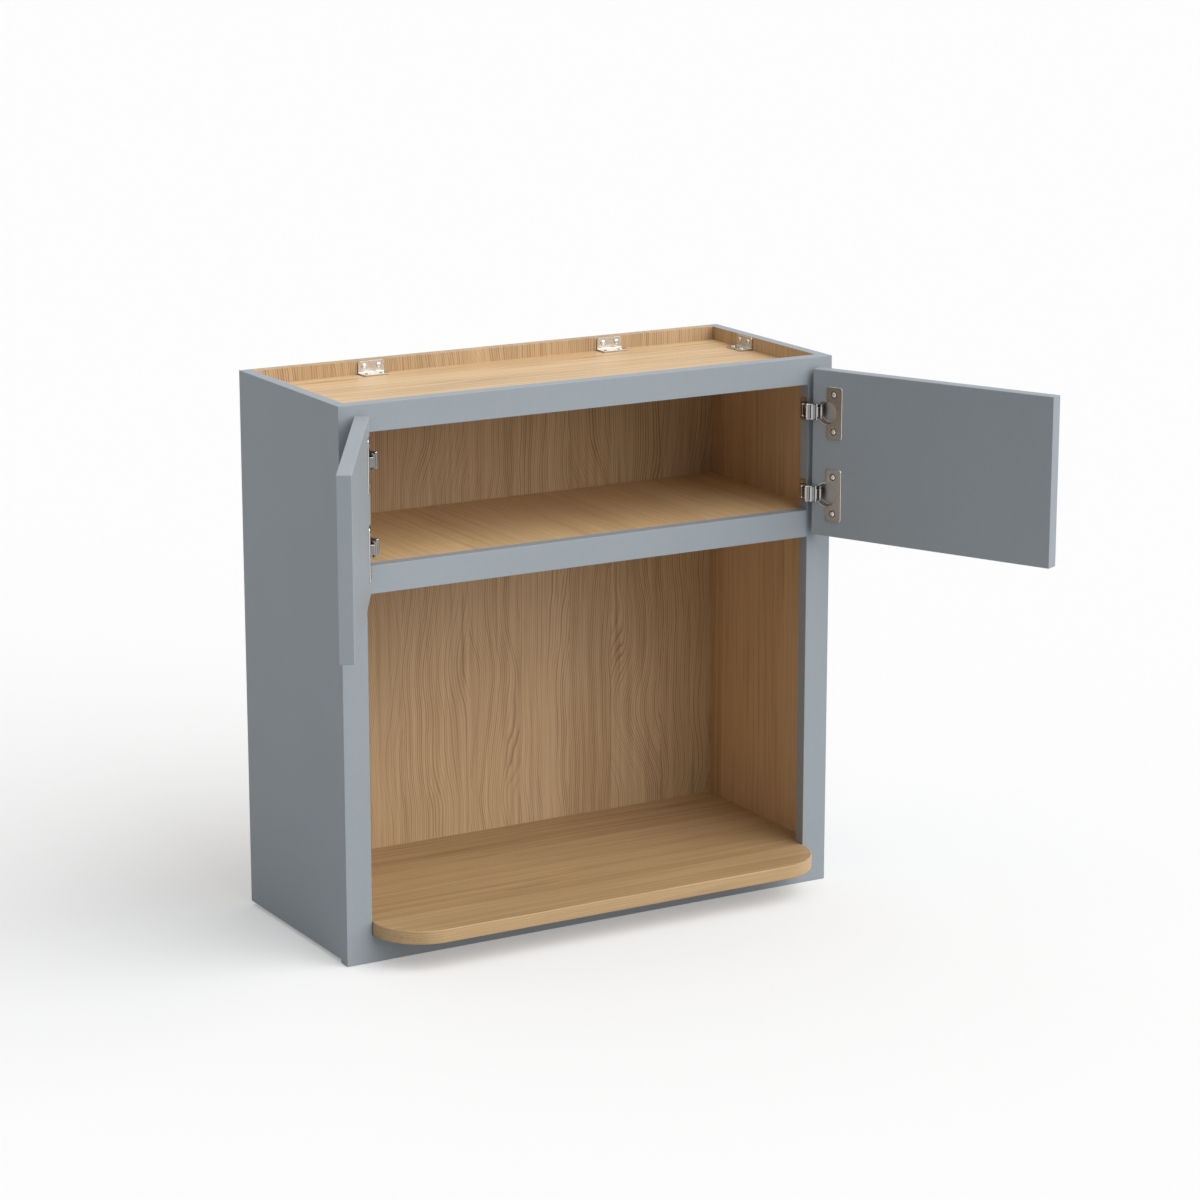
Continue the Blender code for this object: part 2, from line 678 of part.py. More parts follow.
def build_door_set(hand, side, opening):
    """A door with its two hinges. The links turn one way and the door turns further back on them."""
    hinges = [Hinge(side, level) for level in hinge_levels()]
    fixed, moving = hinges[0].fixed_pivot, hinges[0].door_pivot
    whole = opening * (DOOR_SWING + LINK_SWING) / DOOR_SWING
    link_axis = add_axis(f"{hand}_link_axis", fixed, None, -side * whole * SWING_SHARE)
    between = (moving[0] - fixed[0], moving[1] - fixed[1])
    door_axis = add_axis(f"{hand}_door_axis", between, link_axis, side * whole)
    build_door(f"{hand}_door", hinges, moving, door_axis)
    for place, hinge in zip(("lower", "upper"), hinges):
        name = f"{hand}_{place}_hinge"
        build_leaf(name + "_leaf", hinge)
        build_link(name + "_link", hinge, fixed, link_axis)
        build_cup(name + "_cup", hinge, moving, door_axis)


build_face_frame()
build_carcass()
build_microwave_shelf()
for bracket_name, bracket_place in zip(
    ("back_left_bracket", "back_right_bracket", "left_bracket", "right_bracket"), all_bracket_places()
):
    build_bracket(bracket_name, bracket_place)
build_door_set("left", -1, LEFT_OPENING)
build_door_set("right", 1, RIGHT_OPENING)
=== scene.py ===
"""Finish of the microwave wall cabinet: satin paint, oak veneer, plated hinges, brackets and screws.

Metres, +Z up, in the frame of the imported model: the origin is the middle of the cabinet's rear face,
+X runs to the right as seen from the front, and +Y points into the wall.
"""

import json
import math
from collections import namedtuple

import bmesh
import bpy
from mathutils import Matrix, Vector

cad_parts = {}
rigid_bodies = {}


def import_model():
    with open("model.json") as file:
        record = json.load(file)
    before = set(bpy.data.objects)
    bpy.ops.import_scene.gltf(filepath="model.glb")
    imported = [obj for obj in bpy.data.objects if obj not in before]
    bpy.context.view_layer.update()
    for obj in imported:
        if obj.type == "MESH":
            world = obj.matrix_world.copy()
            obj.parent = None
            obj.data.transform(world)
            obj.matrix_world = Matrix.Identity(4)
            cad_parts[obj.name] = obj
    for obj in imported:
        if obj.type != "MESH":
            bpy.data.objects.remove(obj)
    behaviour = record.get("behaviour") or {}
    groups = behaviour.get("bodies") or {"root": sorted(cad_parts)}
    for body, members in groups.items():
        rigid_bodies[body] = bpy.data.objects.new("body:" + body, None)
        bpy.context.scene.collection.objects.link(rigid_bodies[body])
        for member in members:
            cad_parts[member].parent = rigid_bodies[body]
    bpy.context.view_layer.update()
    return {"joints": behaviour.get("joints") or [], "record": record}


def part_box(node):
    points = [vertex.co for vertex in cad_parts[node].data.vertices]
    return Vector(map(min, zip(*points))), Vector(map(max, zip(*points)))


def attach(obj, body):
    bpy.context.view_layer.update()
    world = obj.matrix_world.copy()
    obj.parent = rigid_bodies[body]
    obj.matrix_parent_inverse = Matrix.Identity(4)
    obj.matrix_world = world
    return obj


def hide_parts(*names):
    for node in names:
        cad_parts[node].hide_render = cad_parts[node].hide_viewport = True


for leftover in list(bpy.data.objects):
    bpy.data.objects.remove(leftover, do_unlink=True)
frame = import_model()

# Planes and levels of the cabinet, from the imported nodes
STILE_LOW, STILE_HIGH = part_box("right_stile")
SIDE_LOW, SIDE_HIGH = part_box("right_side_panel")
BACK_LOW, BACK_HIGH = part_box("back_panel")
TOP_LOW, TOP_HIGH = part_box("top_panel")
FLOOR_LOW, FLOOR_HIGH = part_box("cupboard_floor")
SHELF_LOW, SHELF_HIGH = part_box("microwave_shelf")
HALF_WIDE = STILE_HIGH.x
INNER_STILE = STILE_LOW.x
INNER_SIDE = SIDE_LOW.x
FACE = STILE_LOW.y
FRAME_BACK = STILE_HIGH.y
BACK_FRONT = BACK_LOW.y
TOP = STILE_HIGH.z
BOTTOM = STILE_LOW.z
TOP_RAIL_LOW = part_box("top_rail")[0].z
MIDDLE_RAIL_LOW, MIDDLE_RAIL_TOP = (corner.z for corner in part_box("middle_rail"))
BOTTOM_RAIL_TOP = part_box("bottom_rail")[1].z
HANDS = {"left": -1, "right": 1}

# Eased edges and the shelf's round corners
FRAME_EASE = 0.0007
BOARD_EASE = 0.0004
SHELF_EASE = 0.0016
SHELF_CORNER = 0.074
DOOR_EASE = 0.0009

# Doors, as they hang when shut
DOOR_THICK = 0.019
DOOR_GAP = 0.003
SIDE_REVEAL = 0.006
CENTRE_GAP = 0.003
HINGE_INSET = 0.059
DOOR_LOW, DOOR_HIGH = (corner.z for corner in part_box("left_door"))
DOOR_INNER = FACE - DOOR_GAP
HINGE_EDGE = HALF_WIDE - SIDE_REVEAL

# Hinge cup, measured from its middle on the door's inner face: x to the free edge, y out of the face
CUP_FROM_EDGE = 0.0235
CUP_RADIUS = 0.0172
CUP_WALL = 0.001
CUP_DEPTH = 0.0117
CUP_ROUND = 0.0025
CUP_LIP = 0.0004
CUP_LIP_HIGH = 0.0006
FLANGE_NEAR = -0.0005
FLANGE_FAR = 0.0245
FLANGE_HALF_HIGH = 0.037
FLANGE_THICK = 0.0012
FLANGE_CORNER = 0.004
FLANGE_EASE = 0.0008
SINK_RADIUS = 0.0050
SINK_DEEP = 0.0008
CUP_SCREW_X = 0.011
CUP_SCREW_Z = 0.026
CUP_PIVOT_X = -0.0115
CUP_PIVOT_Y = -0.003

# Hinge leaf on the stile's edge
LEAF_THICK = 0.0015
LEAF_HALF_HIGH = 0.016
LEAF_SETBACK = 0.0005
LEAF_DEEP = 0.0175
LEAF_CORNER = 0.0025
LEAF_EASE = 0.0003
LEAF_SCREW_SETBACK = 0.0122
LUG_FROM = 0.0068
LUG_THICK = 0.0025
LUG_ROUND_SHARE = 0.97
RIVET_HIGH = 0.0005
EYE_RADIUS = 0.0029
PIN_RADIUS = 0.0015

# Hinge link of the right door, shut, measured from its fixed pivot
NECK = (0.0023, -0.0076)
ARCH_NEAR = (0.0056, -0.0154)
ARCH_FAR = (0.0212, -0.0158)
STRAP_THICK = 0.0025
STRAP_HALF_HIGH = 0.0065
STRAP_BEND = 0.0012
COLLAR_FROM = 0.55
COLLAR_THICK = 0.0021
COLLAR_HALF_HIGH = 0.0076
ARCH_THICK = 0.0018
ARCH_HALF_HIGH = 0.011
ARCH_EASE = 0.0005
ARCH_FOLD = 0.0024
ARCH_FOLDS = [(0.10, 0.0), (0.30, 1.0), (0.46, 0.0), (0.58, 0.0), (0.78, 1.0), (0.92, 0.0)]
WAIST_SPAN = (0.30, 0.78)
WAIST_DEEP = 0.0014
WAIST_CUT = 4 * ARCH_THICK
CHEEK_LOW = 0.0102
CHEEK_ROUND = 0.0034
CHEEK_ARC = (230, 0)
CHEEK_EDGE = [
    (0.0042, -0.0046),
    (0.0150, -0.0150),
    (0.0056, -0.0150),
    (0.0036, -0.0080),
    (0.0032, -0.0056),
]
GUSSET_SHRINK = 0.02

# Corner brackets
BRACKET_SPREAD = 0.380
SIDE_BRACKET_FROM_WALL = 0.105
BRACKET_WIDE = 0.040
BRACKET_FOOT = 0.020
BRACKET_LEG = 0.0181
BRACKET_THICK = 0.002
BRACKET_BEND = 0.003
BRACKET_CORNER = 0.003
BRACKET_EASE = 0.0003
BRACKET_SCREW_HALF = 0.011
LEG_SCREW_UP = 0.0112
FOOT_SCREW_OUT = 0.0127

# Screws
SHANK_RADIUS = 0.00175
SHANK_LENGTH = 0.012
SHANK_TIP = 0.003
HEAD_RADIUS = 0.0036
HEAD_EDGE = 0.0003
PAN_HEAD = 0.0018
LOW_HEAD = 0.0007
RIM_SHARE = 0.35
RECESS_SHARE = 0.4
RECESS_REACH = 0.0021
RECESS_WIDE = 0.0009
RECESS_TURN = 37.0

# Clearances and fineness of round shapes
JOINT_GAP = 0.0001
SEAT_GAP = 0.0003
SKIN = 0.00005
PAST = 0.002
WELD = 1e-6
SHARP = math.radians(40)
EASE_STEPS = 3
CORNER_STEPS = 6
SHELF_STEPS = 28
SCREW_STEPS = 24
ROUND_STEPS = 48
ROD_EASE_SHARE = 0.125
UPRIGHT = Matrix.Rotation(math.radians(90), 4, "X")
FACING_BACK = Matrix.Rotation(math.radians(-90), 4, "X")

# Faces that take another finish, told by how squarely they look along an axis: 1 is straight along it
FLAT_ON = 0.95
SLANT_FROM = 0.2
LINK_FLAT_ON = 0.9
SHELF_EDGE_SLOPE = 0.8
# Finish numbers of the cup and the link: the sinks and the link's shaded faces take painted shade, the
# rims painted highlights
CUP_PLATE, CUP_SINK_SHADE, CUP_HIGHLIGHT, CUP_BOWL = range(4)
LINK_PLATE, LINK_SHADED, LINK_HIGHLIGHT = range(3)

# Satin paint: its tones, bumps to a metre, and how far each shows
PAINT_DEEP = (0.280, 0.314, 0.342)
PAINT_PALE = (0.312, 0.349, 0.381)
PAINT_CLOUDS = 5
PAINT_FLECKS = 130
PAINT_PEBBLES = 900
PAINT_CLOUD_SHARE = 0.8
PAINT_FLECK_SHARE = 0.5
PAINT_ROUGH = 0.40
PAINT_FLECK_ROUGH = 0.14
PEBBLE_STRENGTH = 0.12
PEBBLE_HIGH = 0.0002
SOFT_GLOSS = 0.3

# Oak tones, and how its staves lie side by side
ASH_TONE = (0.632, 0.474, 0.308)
HONEY_TONE = (0.672, 0.450, 0.250)
BROWN_TONE = (0.310, 0.194, 0.099)
STAVE_WIDE = 0.085
STAVE_BUMPS = 6
STAVE_LAYER = 0.5
STAVE_UNEVEN = 0.9
STAVE_SHIFT = 0.37
LANE_STEP = 7.31
SEAM_FROM = 0.494

# Oak grain: bumps to a metre along it, or across and along it
SWAY_BUMPS = 4.5
LIVELY_BUMPS = 3.2
BEND_BUMPS = (12, 4.2)
CURL_BUMPS = (30, 5)
WAVE_BUMPS = (60, 9)
FADE_BUMPS = (16, 2.0)
STREAK_BUMPS = (190, 3.4)
FLECK_BUMPS = (110, 5)
FIBRE_BUMPS = (900, 20)
BLOTCH_BUMPS = (7, 3.2)
WARMTH_BUMPS = (4, 3)

# Oak grain: steps that keep one kind of bump from repeating another
CURL_LAYER = 3.7
LIVELY_LAYER = 5.3
FADE_LAYER = 9.1
BLOTCH_LAYER = 9
WARMTH_LAYER = 21

# Oak growth lines: how far they move from straight, and how they fade
SWAY_REACH = 0.11
BEND_REACH = 0.062
CURL_REACH = 0.012
WAVE_REACH = 0.0042
LIVELY_LEAST = 0.50
LIVELY_GAIN = 2.6
LINE_SPACING = 0.0034
LINE_SLOPE = 3.0
LINE_LEAST = 0.26
FADE_GAIN = 2.0
FADE_LOSS = 0.45
FADE_SPAN = (0.1, 1.2)
FLECK_LEVEL = 0.6

# Oak surface: how dark each mark is, and how rough and deep
SHADE_LEAST = 0.20
LINE_DARK = 2.0
STREAK_DARK = 0.65
FLECK_DARK = 1.8
FIBRE_DARK = 0.22
BLOTCH_DARK = 0.30
STAVE_DARK = 0.20
SEAM_DARK = 0.10
OAK_ROUGH = 0.46
OAK_LINE_ROUGH = 0.14
OAK_LINE_DEEP = 0.2
OAK_STRENGTH = 0.08
OAK_HIGH = 0.0003

# Plated steel: bumps to a metre along and across the rubbing marks, and how far they show
RUB_LONG = 300
RUB_FINE = 2600
RUB_STRENGTH = 0.06
RUB_HIGH = 0.0001
PLATE_CLOUDS = 120
PLATE_DEEPER = 0.86

# Sockets of the Mix node for colours, and the rays that show the plain background
MIX_SHARE, MIX_FIRST, MIX_SECOND, MIX_RESULT = 0, 6, 7, 2
BACKGROUND_RAYS = ("Camera", "Glossy", "Transmission")

# Camera, light and floor
CAMERA_PLACE = (-2.4038, -4.4821, 1.2616)
CAMERA_YAW = 30.01
CAMERA_PITCH = 13.80
CAMERA_LENS = 109.65
SUN_FROM_RIGHT = 36.0
SUN_HEIGHT = 36.0
SUN_STRENGTH = 2.8
SUN_SPREAD = 74.0
SKY_LOW = 0.04
SKY_HIGH = 0.86
WHITE = 0.983
FLOOR_SEEN = 0.89
FLOOR_GLOW = 0.28
FLOOR_BOUNCE = 0.56
FLOOR_REACH = 60.0


class Socket:
    """One output in a material's nodes. Sums on sockets add Math nodes."""

    def __init__(self, finish, output):
        self.finish = finish
        self.output = output

    def math(self, operation, *operands):
        return self.finish.node("ShaderNodeMath", {"operation": operation}, dict(enumerate(operands)))

    def __add__(self, other):
        return self.math("ADD", self, other)

    __radd__ = __add__

    def __sub__(self, other):
        return self.math("SUBTRACT", self, other)

    def __rsub__(self, other):
        return self.math("SUBTRACT", other, self)

    def __mul__(self, other):
        return self.math("MULTIPLY", self, other)

    __rmul__ = __mul__

    def __truediv__(self, other):
        return self.math("DIVIDE", self, other)

    def __pow__(self, other):
        return self.math("POWER", self, other)

    def __abs__(self):
        return self.math("ABSOLUTE", self)

    def __gt__(self, other):
        return self.math("GREATER_THAN", self, other)

    def floor(self):
        return self.math("FLOOR", self)

    def held(self, low=0.0, high=1.0):
        """The value kept between two numbers."""
        return self.math("MINIMUM", self.math("MAXIMUM", self, low), high)


class Finish:
    """A node material, or the world's nodes, while it is put together."""

    def __init__(self, owner):
        owner.use_nodes = True
        self.owner = owner
        self.tree = owner.node_tree
        self.tree.nodes.clear()

    def node(self, kind, settings=None, sockets=None, output=0):
        """Adds a node: its settings first, then the value or link of each socket."""
        added = self.tree.nodes.new(kind)
        for name, value in (settings or {}).items():
            setattr(added, name, value)
        for name, value in (sockets or {}).items():
            if isinstance(value, Socket):
                self.tree.links.new(value.output, added.inputs[name])
            else:
                added.inputs[name].default_value = value
        return Socket(self, added.outputs[output]) if len(added.outputs) else None

    def place(self):
        """x, y and z in the object's own coordinates."""
        spot = self.node("ShaderNodeTexCoord", output="Object")
        return [self.node("ShaderNodeSeparateXYZ", None, {0: spot}, axis) for axis in range(3)]

    def noise(self, x, y, z, detail=2.0):
        """Soft noise from 0 to 1, about one bump to a unit."""
        spot = self.node("ShaderNodeCombineXYZ", None, {0: x, 1: y, 2: z})
        return self.node("ShaderNodeTexNoise", None, {"Vector": spot, "Scale": 1.0, "Detail": detail})

    def speckle(self, bumps, detail=2.0):
        """Noise with as many bumps to a metre in every direction."""
        x, y, z = self.place()
        return self.noise(x * bumps, y * bumps, z * bumps, detail)

    def chance(self, number):
        """A random value from 0 to 1 that belongs to the number."""
        return self.node("ShaderNodeTexWhiteNoise", {"noise_dimensions": "1D"}, {"W": number})

    def mixed(self, share, first, second):
        """A colour between two others, each given in numbers or as a socket."""
        ends = [end if isinstance(end, Socket) else (*end, 1.0) for end in (first, second)]
        sockets = {MIX_SHARE: share, MIX_FIRST: ends[0], MIX_SECOND: ends[1]}
        return self.node("ShaderNodeMix", {"data_type": "RGBA"}, sockets, MIX_RESULT)

    def bump(self, height, strength, distance):
        """A raised skin, with its height in shares of a distance in metres."""
        sockets = {"Height": height, "Strength": strength, "Distance": distance}
        return self.node("ShaderNodeBump", None, sockets)

    def background_rays(self):
        """1 for rays that show the plain background: those from the camera, mirrored or passed through."""
        paths = [self.node("ShaderNodeLightPath", output=f"Is {kind} Ray") for kind in BACKGROUND_RAYS]
        return (paths[0] + paths[1] + paths[2]).held()

    def surface(self, sockets):
        """Ends the material in a Principled shader."""
        shader = self.node("ShaderNodeBsdfPrincipled", None, sockets)
        self.node("ShaderNodeOutputMaterial", None, {"Surface": shader})
        return self.owner


def new_finish(name):
    return Finish(bpy.data.materials.new(name))


def satin_paint():
    """Sprayed blue-grey paint with a faint cloudy tone and a fine pebbled skin."""
    finish = new_finish("satin_paint")
    cloud = finish.speckle(PAINT_CLOUDS)
    fleck = finish.speckle(PAINT_FLECKS, 3.0)
    pebble = finish.speckle(PAINT_PEBBLES, 1.0)
    tone = (0.5 + (cloud - 0.5) * PAINT_CLOUD_SHARE + (fleck - 0.5) * PAINT_FLECK_SHARE).held()
    return finish.surface(
        {
            "Base Color": finish.mixed(tone, PAINT_DEEP, PAINT_PALE),
            "Roughness": PAINT_ROUGH + fleck * PAINT_FLECK_ROUGH,
            "Specular IOR Level": SOFT_GLOSS,
            "Normal": finish.bump(pebble, PEBBLE_STRENGTH, PEBBLE_HIGH),
        }
    )


def oak_veneer(name, along, across, seed, figure=1.0, contrast=1.0, tone=(1, 1, 1), stave=STAVE_WIDE):
    """Oak in staves, whose growth lines each flow their own way, as far as figure lets them."""
    finish = new_finish(name)
    axes = dict(zip("xyz", finish.place()))
    u, v = axes[across], axes[along]
    w = axes[({"x", "y", "z"} - {along, across}).pop()]
    uneven = finish.noise(u * STAVE_BUMPS, seed, STAVE_LAYER) * STAVE_UNEVEN
    stretch = u / stave + uneven + seed * STAVE_SHIFT
    number = stretch.floor()
    lane = number * LANE_STEP + seed
    seam = abs(stretch - number - 0.5) > SEAM_FROM

    def grain(bumps, layer, detail=2.0):
        return finish.noise(u * bumps[0], v * bumps[1], layer, detail)

    def grain_through(bumps):
        return grain(bumps, lane + w * bumps[0])

    sway = finish.noise(lane, v * SWAY_BUMPS, seed, 1.0) - 0.5
    bend = grain(BEND_BUMPS, lane, 0.0) - 0.5
    curl = grain(CURL_BUMPS, lane + CURL_LAYER, 0.0) - 0.5
    wave = grain_through(WAVE_BUMPS) - 0.5
    swell = finish.noise(lane + LIVELY_LAYER, v * LIVELY_BUMPS, seed, 0.0) - 0.5
    lively = LIVELY_LEAST + swell.held() * LIVELY_GAIN
    flow = (sway * SWAY_REACH + bend * BEND_REACH + curl * CURL_REACH) * lively * figure
    rings = (u + flow + wave * WAVE_REACH) / LINE_SPACING
    index = rings.floor()
    weight = LINE_LEAST + finish.chance(index + lane) ** 2 * (1 - LINE_LEAST)
    fade = (grain(FADE_BUMPS, lane + FADE_LAYER) * FADE_GAIN - FADE_LOSS).held(*FADE_SPAN)
    dark_line = (rings - index) ** LINE_SLOPE * weight * fade

    streak = grain_through(STREAK_BUMPS) - 0.5
    fleck = (grain_through(FLECK_BUMPS) - FLECK_LEVEL).held()
    fibre = grain(FIBRE_BUMPS, w * FIBRE_BUMPS[0], 1.0) - 0.5
    blotch = grain(BLOTCH_BUMPS, seed + BLOTCH_LAYER) - 0.5
    warmth = grain(WARMTH_BUMPS, lane + WARMTH_LAYER)
    marks = (dark_line * LINE_DARK + streak * STREAK_DARK + fleck * FLECK_DARK) * contrast
    patches = blotch * BLOTCH_DARK + (finish.chance(lane) - 0.5) * STAVE_DARK + seam * SEAM_DARK
    shade = (SHADE_LEAST + marks + fibre * FIBRE_DARK + patches).held()
    tints = (ASH_TONE, HONEY_TONE, BROWN_TONE)
    ash, honey, brown = [[part * share for part, share in zip(tint, tone)] for tint in tints]
    return finish.surface(
        {
            "Base Color": finish.mixed(shade, finish.mixed(warmth, ash, honey), brown),
            "Roughness": OAK_ROUGH + dark_line * OAK_LINE_ROUGH,
            "Specular IOR Level": SOFT_GLOSS,
            "Normal": finish.bump(fibre - dark_line * OAK_LINE_DEEP, OAK_STRENGTH, OAK_HIGH),
        }
    )


def plated(name, colour, roughness, scratch):
    """Plated steel with fine rubbing marks."""
    finish = new_finish(name)
    x, y, z = finish.place()
    rub = finish.noise(x * RUB_LONG, y * RUB_LONG, z * RUB_FINE)
    cloud = finish.speckle(PLATE_CLOUDS)
    deeper = [part * PLATE_DEEPER for part in colour]
    return finish.surface(
        {
            "Base Color": finish.mixed(cloud, deeper, colour),
            "Metallic": 1.0,
            "Roughness": roughness + (rub - 0.5) * scratch,
            "Normal": finish.bump(rub, RUB_STRENGTH, RUB_HIGH),
        }
    )


PAINT = satin_paint()
BACK_OAK = oak_veneer("oak_back", "z", "x", 3.0, contrast=1.2, tone=(0.92, 0.91, 0.87))
SIDE_OAK = oak_veneer("oak_sides", "z", "y", 11.0, figure=0.12, contrast=0.95, tone=(1.02, 1.00, 0.94))
SHELF_OAK = oak_veneer("oak_shelf", "x", "y", 19.0, figure=0.10, contrast=1.15, tone=(0.82, 0.78, 0.69))
EDGE_OAK = oak_veneer(
    "oak_shelf_edge", "x", "z", 23.0, figure=0.0, contrast=0.80, tone=(0.79, 0.76, 0.67), stave=1.0
)
FLOOR_OAK = oak_veneer(
    "oak_cupboard_floor", "y", "x", 27.0, figure=0.10, contrast=0.85, tone=(1.12, 1.12, 1.02), stave=0.13
)
TOP_OAK = oak_veneer("oak_top", "x", "y", 35.0, figure=0.15, contrast=1.45, tone=(1.13, 1.11, 1.02))
NICKEL = plated("nickel_plate", (0.42, 0.385, 0.34), 0.22, 0.10)
BOWL_NICKEL = plated("dull_nickel", (0.42, 0.395, 0.365), 0.44, 0.10)
SATIN_NICKEL = plated("satin_nickel", (0.58, 0.545, 0.495), 0.28, 0.10)
# The link takes a bright copy of nickel where its faces look to the front and a dark copy elsewhere:
# painted light and shade by the way the faces look
LIT_LINK_NICKEL = plated("polished_lit_nickel", (0.47, 0.465, 0.455), 0.13, 0.05)
SHADE_LINK_STEEL = plated("painted_shade_link_steel", (0.25, 0.248, 0.243), 0.24, 0.08)
# Painted highlight: near-white plate on the eased rims of the cup's plate, on its lip and on the link's
# edges
HIGHLIGHT_NICKEL = plated("painted_highlight_edge", (0.86, 0.85, 0.83), 0.14, 0.04)
# Painted shade: near-black steel on the countersinks round the cup screws, where shade falls
SINK_SHADE_STEEL = plated("painted_sink_shade", (0.06, 0.055, 0.05), 0.42, 0.08)
ZINC = plated("zinc_plate", (0.74, 0.735, 0.72), 0.26, 0.10)
CUP_FINISHES = [NICKEL, SINK_SHADE_STEEL, HIGHLIGHT_NICKEL, BOWL_NICKEL]
LINK_FINISHES = [LIT_LINK_NICKEL, SHADE_LINK_STEEL, HIGHLIGHT_NICKEL]


def add_piece(name, shape, finishes, body, slot, *nodes):
    """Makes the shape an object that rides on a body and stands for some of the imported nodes."""
    mesh = bpy.data.meshes.new(name)
    shape.to_mesh(mesh)
    shape.free()
    for finish in finishes:
        mesh.materials.append(finish)
    mesh.shade_smooth()
    mesh.set_sharp_from_angle(angle=SHARP)
    piece = bpy.data.objects.new(name, mesh)
    bpy.context.scene.collection.objects.link(piece)
    even = piece.modifiers.new("Even shading", "WEIGHTED_NORMAL")
    even.keep_sharp = True
    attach(piece, body)
    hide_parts(*nodes)


def block(low, high):
    """A box between two corners."""
    low, high = Vector(low), Vector(high)
    shape = bmesh.new()
    place = Matrix.Translation((low + high) / 2) @ Matrix.Diagonal((*(high - low), 1.0))
    bmesh.ops.create_cube(shape, size=1.0, matrix=place)
    return shape


def lattice(columns, rows):
    """A flat sheet of cells on Z = 0 whose lines lie at the given x and y."""
    shape = bmesh.new()
    bmesh.ops.create_grid(shape, x_segments=len(columns) - 1, y_segments=len(rows) - 1, size=1.0)
    for corner in shape.verts:
        column = round((corner.co.x + 1) / 2 * (len(columns) - 1))
        row = round((corner.co.y + 1) / 2 * (len(rows) - 1))
        corner.co = (columns[column], rows[row], 0.0)
    return shape


def drop_cells(shape, unwanted):
    """Deletes the cells whose middle answers the test."""
    cells = [cell for cell in shape.faces if unwanted(cell.calc_center_median())]
    bmesh.ops.delete(shape, geom=cells, context="FACES")


def outline(points):
    """A flat face on Z = 0 inside a few corner points."""
    shape = bmesh.new()
    shape.faces.new([shape.verts.new((x, y, 0.0)) for x, y in points])
    return shape


def round_corners(shape, corners, radius, steps=CORNER_STEPS):
    """Rounds the corners of a flat sheet that lie at these places."""
    for corner in corners:
        spot = Vector((*corner, 0.0))
        nearest = min(shape.verts, key=lambda vert: (vert.co - spot).length)
        bmesh.ops.bevel(
            shape,
            geom=[nearest],
            offset=radius,
            segments=steps,
            profile=0.5,
            affect="VERTICES",
            material=-1,
        )


def raise_sheet(shape, offset):
    """Turns a flat sheet into a closed solid by drawing it along the offset."""
    drawn = bmesh.ops.extrude_face_region(shape, geom=shape.faces[:])["geom"]
    corners = [item for item in drawn if isinstance(item, bmesh.types.BMVert)]
    bmesh.ops.translate(shape, verts=corners, vec=offset)
    bmesh.ops.recalc_face_normals(shape, faces=shape.faces[:])
    return shape


def soften(shape, width, steps=EASE_STEPS, chosen=None):
    """Rounds the sharp edges, or those among them whose two ends answer the test."""
    edges = []
    for edge in shape.edges:
        ends = [corner.co for corner in edge.verts]
        if edge.calc_face_angle(0.0) > SHARP and (chosen is None or chosen(*ends)):
            edges.append(edge)
    bmesh.ops.bevel(
        shape, geom=edges, offset=width, segments=steps, profile=0.5, affect="EDGES", material=-1
    )
    return shape


def arc(centre, radius, first, last, steps=CORNER_STEPS):
    """Points on a circle between two angles in degrees, ends included."""
    turns = [math.radians(first + (last - first) * i / steps) for i in range(steps + 1)]
    return [(centre[0] + radius * math.cos(a), centre[1] + radius * math.sin(a)) for a in turns]


def moved(shape, matrix):
    """Places the shape, and turns its faces out again where the matrix mirrors it."""
    bmesh.ops.transform(shape, matrix=matrix, verts=shape.verts[:])
    if matrix.determinant() < 0:
        bmesh.ops.reverse_faces(shape, faces=shape.faces[:])
    return shape


def turned(section, steps=ROUND_STEPS):
    """Spins half a section, given as (radius, height), about Z into a closed shape."""
    shape = bmesh.new()
    corners = [shape.verts.new((radius, 0.0, height)) for radius, height in section]
    edges = [shape.edges.new(pair) for pair in zip(corners, corners[1:])]
    bmesh.ops.spin(
        shape,
        geom=corners + edges,
        cent=(0, 0, 0),
        axis=(0, 0, 1),
        angle=math.tau,
        steps=steps,
        use_merge=True,
    )
    bmesh.ops.remove_doubles(shape, verts=shape.verts[:], dist=WELD)
    bmesh.ops.recalc_face_normals(shape, faces=shape.faces[:])
    return shape


def rod(foot, length, radius):
    """An upright round bar with slightly eased ends."""
    ease = radius * ROD_EASE_SHARE
    section = [(0.0, 0.0), (radius - ease, 0.0), (radius, ease)]
    section += [(radius, length - ease), (radius - ease, length), (0.0, length)]
    return moved(turned(section), Matrix.Translation(foot))


def combined(shape, *steps):
    """Joins other shapes on, or cuts them out, one after the other. Each step is (operation, shape)."""
    helpers = []
    for number, part in enumerate([shape] + [other for _, other in steps]):
        mesh = bpy.data.meshes.new(f"helper_{number}")
        part.to_mesh(mesh)
        part.free()
        helper = bpy.data.objects.new(f"helper_{number}", mesh)
        bpy.context.scene.collection.objects.link(helper)
        helpers.append(helper)
    for (operation, _), helper in zip(steps, helpers[1:]):
        modifier = helpers[0].modifiers.new(operation, "BOOLEAN")
        modifier.operation = operation
        modifier.solver = "EXACT"
        modifier.object = helper
    solid = helpers[0].evaluated_get(bpy.context.evaluated_depsgraph_get())
    result = bmesh.new()
    result.from_mesh(solid.to_mesh())
    solid.to_mesh_clear()
    for helper in helpers:
        bpy.data.meshes.remove(helper.data)
    bmesh.ops.remove_doubles(result, verts=result.verts[:], dist=WELD)
    return result


